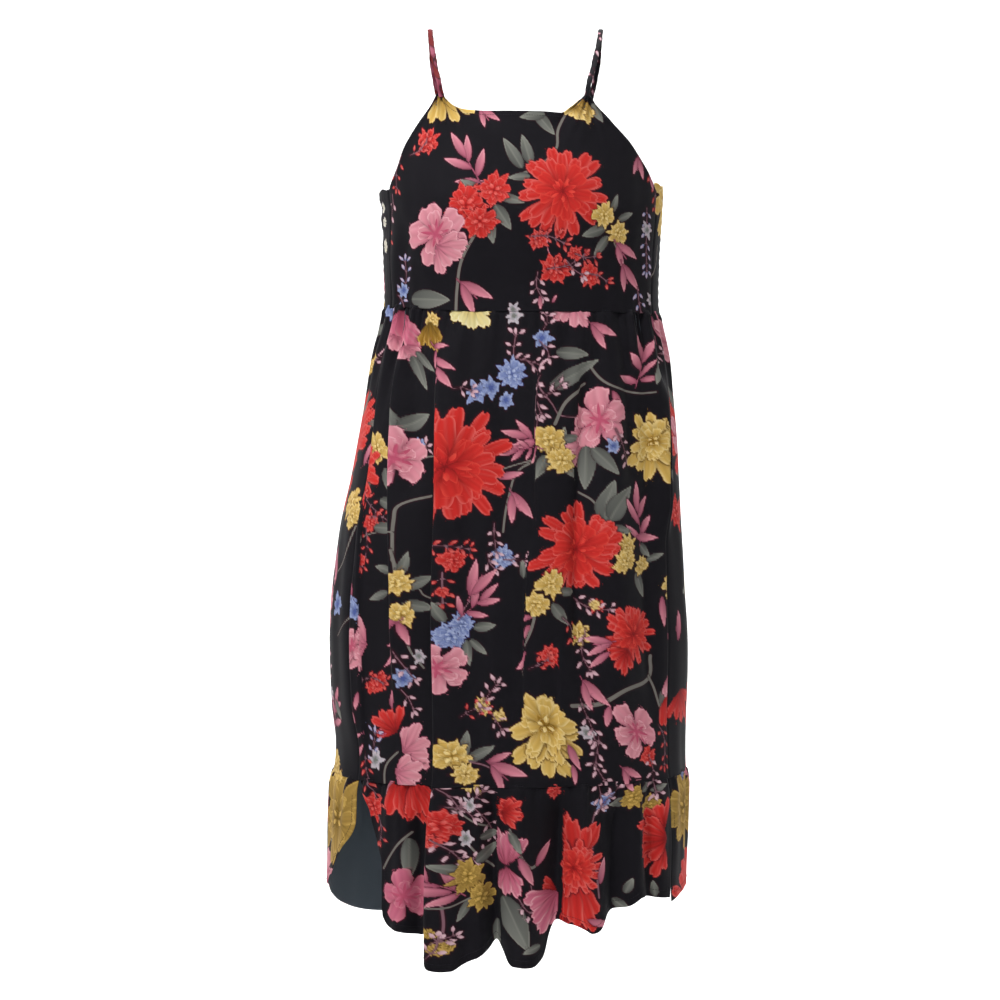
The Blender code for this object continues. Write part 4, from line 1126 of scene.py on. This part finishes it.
def cloth_material(name, printed):
    m = bpy.data.materials.new(name)
    m.use_nodes = True
    tree = m.node_tree
    shader = tree.nodes["Principled BSDF"]
    shader.inputs["Roughness"].default_value = 0.78
    shader.inputs["Specular IOR Level"].default_value = 0.12
    shader.inputs["Sheen Weight"].default_value = 0.025
    shader.inputs["Sheen Roughness"].default_value = 0.5
    if printed:
        above, below, edge = (node(tree, "ShaderNodeAttribute", attribute_name=a) for a in ("above", "below", "edge"))
        ramp = node(tree, "ShaderNodeMapRange", interpolation_type="SMOOTHSTEP")
        ramp.inputs["From Min"].default_value = -0.30
        ramp.inputs["From Max"].default_value = 0.30
        mix = node(tree, "ShaderNodeMix", data_type="RGBA")
        tree.links.new(edge.outputs["Fac"], ramp.inputs["Value"])
        tree.links.new(ramp.outputs["Result"], mix.inputs[0])
        tree.links.new(below.outputs["Color"], mix.inputs[6])
        tree.links.new(above.outputs["Color"], mix.inputs[7])
        tree.links.new(mix.outputs[2], shader.inputs["Base Color"])
    else:
        # the wrong side's grey-blue: the cloth's own colour, darkened further by painted shade
        shader.inputs["Base Color"].default_value = (*INK["wrong"], 1.0)
    place = node(tree, "ShaderNodeTexCoord")
    grain = node(tree, "ShaderNodeTexNoise")
    grain.inputs["Scale"].default_value = 900.0
    grain.inputs["Detail"].default_value = 2.0
    bumps = node(tree, "ShaderNodeBump")
    bumps.inputs["Strength"].default_value = 0.16
    bumps.inputs["Distance"].default_value = 0.0006
    tree.links.new(place.outputs["Object"], grain.inputs["Vector"])
    height = grain.outputs["Fac"]
    for way in ("X", "Z"):  # warp and weft
        thread = node(tree, "ShaderNodeTexWave", wave_type="BANDS", bands_direction=way)
        thread.inputs["Scale"].default_value = 420.0
        thread.inputs["Distortion"].default_value = 1.2
        thread.inputs["Detail"].default_value = 1.0
        tree.links.new(place.outputs["Object"], thread.inputs["Vector"])
        join = node(tree, "ShaderNodeMath", operation="ADD")
        tree.links.new(height, join.inputs[0])
        tree.links.new(thread.outputs["Fac"], join.inputs[1])
        height = join.outputs["Value"]
    tree.links.new(height, bumps.inputs["Height"])
    tree.links.new(bumps.outputs["Normal"], shader.inputs["Normal"])
    return m


PRINTED = cloth_material("printed_rayon", True)
WRONG = cloth_material("rayon_wrong_side", False)

# ------------------------------------------------------------------ meshes


def build_mesh(name, points, quads, tris, slots, colours, materials):
    """points in mm; quads and tris as index arrays; slots per face; colours as (above, below, edge) per point."""
    mesh = bpy.data.meshes.new(name)
    loops = np.concatenate([quads.ravel(), tris.ravel()]).astype(np.int32)
    sizes = np.concatenate([np.full(len(quads), 4), np.full(len(tris), 3)]).astype(np.int32)
    starts = np.concatenate([[0], np.cumsum(sizes)[:-1]]).astype(np.int32)
    mesh.vertices.add(len(points))
    mesh.vertices.foreach_set("co", (points / 1000.0).astype(np.float32).ravel())
    mesh.loops.add(len(loops))
    mesh.loops.foreach_set("vertex_index", loops)
    mesh.polygons.add(len(sizes))
    mesh.polygons.foreach_set("loop_start", starts)
    mesh.polygons.foreach_set("material_index", np.asarray(slots, np.int32))
    mesh.polygons.foreach_set("use_smooth", np.ones(len(sizes), bool))
    mesh.update(calc_edges=True)
    mesh.validate()
    above, below, edge = colours
    for key, value in (("above", above), ("below", below)):
        layer = mesh.attributes.new(key, "FLOAT_COLOR", "POINT")
        layer.data.foreach_set("color", np.c_[value, np.ones(len(value))].astype(np.float32).ravel())
    layer = mesh.attributes.new("edge", "FLOAT", "POINT")
    layer.data.foreach_set("value", edge.astype(np.float32))
    for m in materials:
        mesh.materials.append(m)
    made = bpy.data.objects.new(name, mesh)
    bpy.context.scene.collection.objects.link(made)
    return made


def build_panel(name):
    shape, skirted, across, down = PANELS[name]
    middle, tuck, angle, z = grid_of(shape, skirted, across, down)
    facing = 90.0 if "back" in name else -90.0
    normals = normals_of(middle)
    outer = middle + normals * (CLOTH / 2)
    inner = (middle - normals * (CLOTH / 2))[::2, ::2]
    cloth = Print(*flat_of(angle, z, tuck, facing, 1.35 if name == "bodice_back" else 1.0))
    if name == "bodice_front":
        print_front(cloth, middle, normals, BODICE_MOTIFS, BODICE_STEMS)
    elif name == "skirt_front":
        print_front(cloth, middle, normals, SKIRT_MOTIFS, SKIRT_STEMS)
    elif name == "ruffle_front":
        print_front(cloth, middle, normals, RUFFLE_MOTIFS, RUFFLE_STEMS)
    else:
        shift = {"bodice_back": (40, 20, 42), "skirt_back": (-60, -40, 45), "ruffle_back": (-130, -120, 40)}[name]
        print_repeat(cloth, *shift)
        print_front(cloth, middle, normals, BACK_MOTIFS[name], ())
    w, h = across + 1, down + 1
    grid = np.arange(w * h).reshape(h, w)
    quads = np.stack([grid[:-1, :-1], grid[1:, :-1], grid[1:, 1:], grid[:-1, 1:]], axis=-1).reshape(-1, 4)
    w2, h2 = across // 2 + 1, down // 2 + 1
    grid2 = np.arange(w2 * h2).reshape(h2, w2) + w * h
    quads2 = np.stack([grid2[:-1, :-1], grid2[:-1, 1:], grid2[1:, 1:], grid2[1:, :-1]], axis=-1).reshape(-1, 4)
    rims = []
    for fine, coarse, flip in (
        (grid[0], grid2[0], True),
        (grid[-1], grid2[-1], False),
        (grid[:, 0], grid2[:, 0], False),
        (grid[:, -1], grid2[:, -1], True),
    ):
        a, b, c = fine[:-2:2], fine[1:-1:2], fine[2::2]
        p, q = coarse[:-1], coarse[1:]
        strip = [np.stack(k, axis=-1) for k in ((a, p, b), (b, p, q), (b, q, c))]
        strip = np.concatenate(strip)
        rims.append(strip[:, ::-1] if flip else strip)
    rims = np.concatenate(rims)
    slots = np.concatenate([np.zeros(len(quads)), np.ones(len(quads2)), np.zeros(len(rims))])
    coarse_of = lambda k: k.reshape(h, w, -1)[::2, ::2].reshape(h2 * w2, -1)
    colours = (
        np.concatenate([cloth.above, coarse_of(cloth.above)]),
        np.concatenate([cloth.below, coarse_of(cloth.below)]),
        np.concatenate([cloth.edge, coarse_of(cloth.edge)[:, 0]]),
    )
    points = np.concatenate([outer.reshape(-1, 3), inner.reshape(-1, 3)])
    made = build_mesh(name + "_cloth", points, np.concatenate([quads, quads2]), rims, slots, colours, [PRINTED, WRONG])
    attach(made, "root")
    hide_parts(name)
    return made


# ------------------------------------------------------------------ stitches

# panel, edge that they follow, mm in from it, share of the edge: start, end
STITCH_LINES = (
    ("bodice_front", "top", 5.6, 0.0, 1.0),
    ("bodice_front", "left", 4.6, 0.04, 0.44),
    ("bodice_front", "right", 4.6, 0.04, 0.44),
    ("ruffle_front", "bottom", 9.0, 0.01, 0.99),
    ("ruffle_front", "left", 7.0, 0.16, 0.96),
    ("ruffle_front", "right", 7.0, 0.30, 0.96),
    ("ruffle_back", "bottom", 9.0, 0.01, 0.99),
    ("ruffle_back", "left", 7.0, 0.30, 0.96),
    ("ruffle_back", "right", 7.0, 0.16, 0.96),
    ("skirt_front", "top", 2.2, 0.01, 0.99),
    ("ruffle_front", "top", 2.2, 0.01, 0.99),
)
STITCH_LONG, STITCH_GAP, STITCH_THICK = 2.5, 0.7, 0.27


def surface_point(name, u, v):
    shape, skirted = PANELS[name][:2]
    return ring_point(*shape(u, v), skirted)[0]


def stitch_line(name, edge, inset, start, end):
    """Points and outward normals evenly spaced along a line inside a panel's edge."""
    along = np.linspace(start, end, 900)
    still = np.zeros_like(along)
    u, v = {
        "top": (along, still),
        "bottom": (along, still + 1),
        "left": (still, along),
        "right": (still + 1, along),
    }[edge]
    into_u, into_v = {"top": (0, 1), "bottom": (0, -1), "left": (1, 0), "right": (-1, 0)}[edge]
    at = surface_point(name, u, v)
    near = surface_point(name, u + into_u * 0.02, v + into_v * 0.02)
    share = 0.02 * inset / (np.linalg.norm(near - at, axis=1) + 1e-9)
    u, v = u + into_u * share, v + into_v * share
    p = surface_point(name, u, v)
    e = 0.002
    du = surface_point(name, np.clip(u + e, 0, 1), v) - surface_point(name, np.clip(u - e, 0, 1), v)
    dv = surface_point(name, u, np.clip(v + e, 0, 1)) - surface_point(name, u, np.clip(v - e, 0, 1))
    n = np.cross(dv, du)
    n /= np.linalg.norm(n, axis=1)[:, None] + 1e-12
    return p + n * (CLOTH / 2 + 0.08), n


def build_stitches(panel):
    verts, faces = [], []
    for name, edge, inset, start, end in STITCH_LINES:
        if name != panel:
            continue
        p, n = stitch_line(name, edge, inset, start, end)
        run = np.concatenate([[0], np.cumsum(np.linalg.norm(np.diff(p, axis=0), axis=1))])
        place = 0.0
        while place + STITCH_LONG < run[-1]:
            ends = []
            for k in np.linspace(0, 1, 4):
                here = place + k * STITCH_LONG
                c = np.array([np.interp(here, run, p[:, a]) for a in range(3)])
                m = np.array([np.interp(here, run, n[:, a]) for a in range(3)])
                ends.append((c, m / (np.linalg.norm(m) + 1e-9)))
            d = ends[-1][0] - ends[0][0]
            d /= np.linalg.norm(d) + 1e-9
            base = len(verts)
            for k, (c, m) in enumerate(ends):
                side = np.cross(d, m)
                fat = STITCH_THICK * (0.45 if k in (0, 3) else 1.0)
                lift = m * (0.0 if k in (0, 3) else 0.16)
                for turn in range(5):
                    a = 2 * math.pi * turn / 5
                    verts.append(c + lift + side * math.cos(a) * fat + m * math.sin(a) * fat * 0.8)
            for k in range(3):
                for turn in range(5):
                    a, b = base + k * 5 + turn, base + k * 5 + (turn + 1) % 5
                    faces.append((a, b, b + 5, a + 5))
            faces.append(tuple(base + k for k in range(4, -1, -1)))
            faces.append(tuple(base + 15 + k for k in range(5)))
            place += STITCH_LONG + STITCH_GAP
    mesh = bpy.data.meshes.new(panel + "_stitches")
    mesh.from_pydata([tuple(k / 1000.0 for k in q) for q in verts], [], faces)
    for f in mesh.polygons:
        f.use_smooth = True
    mesh.materials.append(THREAD)
    made = bpy.data.objects.new(panel + "_stitches", mesh)
    bpy.context.scene.collection.objects.link(made)
    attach(made, "root")
    return made


def thread_material():
    m = bpy.data.materials.new("sewing_thread")
    m.use_nodes = True
    tree = m.node_tree
    shader = tree.nodes["Principled BSDF"]
    shader.inputs["Roughness"].default_value = 0.9
    shader.inputs["Specular IOR Level"].default_value = 0.05
    place = node(tree, "ShaderNodeTexCoord")
    ply = node(tree, "ShaderNodeTexNoise")
    ply.inputs["Scale"].default_value = 1600.0
    tint = node(tree, "ShaderNodeMix", data_type="RGBA")
    tint.inputs[6].default_value = (0.010, 0.010, 0.014, 1)
    tint.inputs[7].default_value = (0.030, 0.030, 0.036, 1)
    tree.links.new(place.outputs["Object"], ply.inputs["Vector"])
    tree.links.new(ply.outputs["Fac"], tint.inputs[0])
    tree.links.new(tint.outputs[2], shader.inputs["Base Color"])
    return m


THREAD = thread_material()

# ------------------------------------------------------------------ straps

STRAP_PATH = {
    "left": (
        (-91.0, -90.5, -106.0), (-92.5, -89.0, -98.6), (-95.0, -82.0, -84.0), (-99.0, -66.0, -67.0), (-105.0, -38.0, -30.0),
        (-108.0, -8.0, -5.5), (-108.6, 20.0, -7.0), (-106.3, 52.0, -42.0), (-96.5, 76.0, -96.0), (-93.0, 86.0, -150.0), (-92.0, 88.0, -203.2), (-92.0, 87.0, -214.0),
    ),
    "right": (
        (87.0, -91.0, -109.0), (88.5, -89.5, -102.0), (91.0, -82.0, -86.0), (96.5, -66.0, -66.0), (104.5, -38.0, -30.0),
        (109.0, -8.0, -5.5), (109.5, 20.0, -7.0), (107.3, 52.0, -42.0), (96.7, 76.0, -96.0), (94.0, 86.0, -150.0), (93.0, 88.0, -202.2), (93.0, 87.0, -213.0),
    ),
}


def spline(points, share):
    pts = np.array(points, float)
    n = len(pts) - 1
    place = np.clip(np.asarray(share, float) * n, 0, n - 1e-9)
    i = place.astype(int)
    t = (place - i)[:, None]
    p0, p1, p2, p3 = pts[np.maximum(i - 1, 0)], pts[i], pts[i + 1], pts[np.minimum(i + 2, n)]
    return 0.5 * (2 * p1 + (p2 - p0) * t + (2 * p0 - 5 * p1 + 4 * p2 - p3) * t**2 + (3 * p1 - p0 - 3 * p2 + p3) * t**3)


def build_strap(side):
    steps, sides = 420, 20
    share = np.linspace(0, 1, steps + 1)
    path = spline(STRAP_PATH[side], share)
    d = np.gradient(path, axis=0)
    d /= np.linalg.norm(d, axis=1)[:, None]
    run = np.concatenate([[0], np.cumsum(np.linalg.norm(np.diff(path, axis=0), axis=1))])
    w = np.array([1.0, 0, 0]) - d * d[:, :1]
    w /= np.linalg.norm(w, axis=1)[:, None]
    h = np.cross(d, w)
    turn = np.linspace(0, 2 * np.pi, sides, endpoint=False)[None, :]
    along = run[:, None]
    twist = 0.25 * np.sin(along / 23.0) + 0.12 * np.sin(along / 9.0)
    crease = 1 + 0.05 * np.sin(along / 1.9 + 2 * turn) + 0.06 * np.sin(along / 5.3 - turn * 2 + 1.0)
    seam = 1 - 0.16 * np.exp(-(((turn - 4.3) / 0.22) ** 2))
    a, b = np.cos(turn) * 3.3 * crease * seam, np.sin(turn) * 1.9 * crease * seam
    ra = a * np.cos(twist) - b * np.sin(twist)
    rb = a * np.sin(twist) + b * np.cos(twist)
    points = path[:, None, :] + w[:, None, :] * ra[..., None] + h[:, None, :] * rb[..., None]
    grid = np.arange((steps + 1) * sides).reshape(steps + 1, sides)
    nxt = np.roll(grid, -1, axis=1)
    quads = np.stack([grid[:-1], nxt[:-1], nxt[1:], grid[1:]], axis=-1).reshape(-1, 4)
    flat = np.concatenate([points.reshape(-1, 3), path[:1], path[-1:]])
    first, last = len(flat) - 2, len(flat) - 1
    caps = np.concatenate(
        [
            np.stack([np.full(sides, first), nxt[0], grid[0]], axis=-1),
            np.stack([np.full(sides, last), grid[-1], nxt[-1]], axis=-1),
        ]
    )
    # the bias strip cuts through motifs, so bands of print run slantwise round the tube
    lane = along + 6.0 * turn / np.pi
    if side == "left":
        band = np.sin(lane / 11.0) + 0.7 * np.sin(lane / 4.7 + 1.0) + 0.5 * np.sin(turn * 2 + along / 13.0)
        inks = [INK["red_deep"] * 0.40, INK["halo"] * 0.8, INK["pink_deep"] * 0.42, INK["pink_mid"] * 0.55]
        edges = (-0.1, 0.30, 1.0)
    else:
        band = np.sin(lane / 6.1) + 0.9 * np.sin(lane / 2.3 + 0.5) + 0.7 * np.sin(turn * 2 + along / 5.0)
        inks = [INK["ground"], INK["halo"], INK["drop_deep"], INK["drop"]]
        edges = (0.75, 1.45, 1.9)
    colour = np.tile(inks[0], (*band.shape, 1))
    for edge_value, ink in zip(edges, inks[1:]):
        k = smooth_step((band - edge_value) / 0.16)[..., None]
        colour = colour * (1 - k) + ink * k
    colour = np.concatenate([colour.reshape(-1, 3), colour[0, :1], colour[-1, :1]])
    edge = np.full(len(flat), BAND)
    quads = quads[:, ::-1] if False else quads
    made = build_mesh(
        f"strap_{side}_tube", flat, quads, caps, np.zeros(len(quads) + len(caps)), (colour, colour, edge), [PRINTED]
    )
    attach(made, "root")
    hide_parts(f"strap_{side}")
    return made


panels = {name: build_panel(name) for name in PANELS}
straps = {side: build_strap(side) for side in STRAP_PATH}
for name in sorted({row[0] for row in STITCH_LINES}):
    build_stitches(name)

# ------------------------------------------------------------------ stage, light and camera


def stage_floor():
    """Pale floor that curves up all round into an oval wall."""
    turn = np.linspace(0, 2 * np.pi, 120, endpoint=False)
    wide, long, centre = 16.0, 7.9, -4.1
    rim = np.stack([wide * np.cos(turn), centre + long * np.sin(turn)], axis=-1)
    out = np.stack([np.cos(turn) / wide, np.sin(turn) / long], axis=-1)
    out /= np.linalg.norm(out, axis=-1, keepdims=True)
    rows = [(0.25, 0, -1.42), (0.5, 0, -1.42), (0.75, 0, -1.42)]
    rows += [(1.0, 1.6 * (1 - math.sin(a)), -1.42 + 1.6 * (1 - math.cos(a))) for a in np.linspace(0, math.pi / 2, 13)]
    rows += [(1.0, 0.0, 3.0), (1.0, 0.0, 7.0)]
    verts = [(0.0, centre, -1.42)]
    for share, inset, z in rows:
        ring = (rim - out * 1.6 - (0, centre)) * share + (0, centre) if share < 1 else rim - out * inset
        verts += [(float(a), float(b), z) for a, b in ring]
    n = len(turn)
    faces = [(0, 1 + i, 1 + (i + 1) % n) for i in range(n)]
    for k in range(len(rows) - 1):
        for i in range(n):
            p, q = 1 + k * n + i, 1 + k * n + (i + 1) % n
            faces.append((p, p + n, q + n, q))
    mesh = bpy.data.meshes.new("backdrop")
    mesh.from_pydata(verts, [], faces)
    for f in mesh.polygons:
        f.use_smooth = True
    m = bpy.data.materials.new("backdrop")
    m.use_nodes = True
    m.node_tree.nodes["Principled BSDF"].inputs["Base Color"].default_value = (0.9, 0.9, 0.9, 1)
    m.node_tree.nodes["Principled BSDF"].inputs["Roughness"].default_value = 0.9
    mesh.materials.append(m)
    made = bpy.data.objects.new("backdrop", mesh)
    bpy.context.scene.collection.objects.link(made)
    return made


stage_floor()


def area_light(name, place, aim, size, power):
    data = bpy.data.lights.new(name, "AREA")
    data.shape = "RECTANGLE"
    data.size, data.size_y = size
    data.energy = power
    lamp = bpy.data.objects.new(name, data)
    bpy.context.scene.collection.objects.link(lamp)
    lamp.location = place
    way = np.array(aim, float) - np.array(place, float)
    from mathutils import Vector

    lamp.rotation_euler = Vector(way).to_track_quat("-Z", "Y").to_euler()
    return lamp


area_light("key", (-0.85, -1.35, 1.3), (0, 0, -0.2), (0.5, 0.5), 54)
area_light("fill", (2.2, -2.4, 0.6), (0, 0, -0.4), (1.6, 1.6), 3)
area_light("rear", (0.6, 2.4, 0.9), (0, 0, -0.6), (2.0, 1.6), 16)
area_light("wall", (0.0, 0.6, 2.4), (0, 3.6, -0.6), (4.5, 1.2), 150)
area_light("ground", (0.0, 1.4, 2.6), (0, 2.2, -1.4), (4.5, 1.2), 90)

world = bpy.data.worlds.new("studio")
world.use_nodes = True
world.node_tree.nodes["Background"].inputs["Color"].default_value = (1, 1, 1, 1)
world.node_tree.nodes["Background"].inputs["Strength"].default_value = 0.36
bpy.context.scene.world = world
bpy.context.scene.view_settings.view_transform = "Standard"

camera = bpy.data.objects.new("camera", bpy.data.cameras.new("camera"))
camera.data.lens = LENS
camera.data.sensor_width = 36.0
camera.location = tuple(k / 1000 for k in EYE)
camera.rotation_euler = (math.pi / 2, 0, 0)
bpy.context.scene.collection.objects.link(camera)
bpy.context.scene.camera = camera
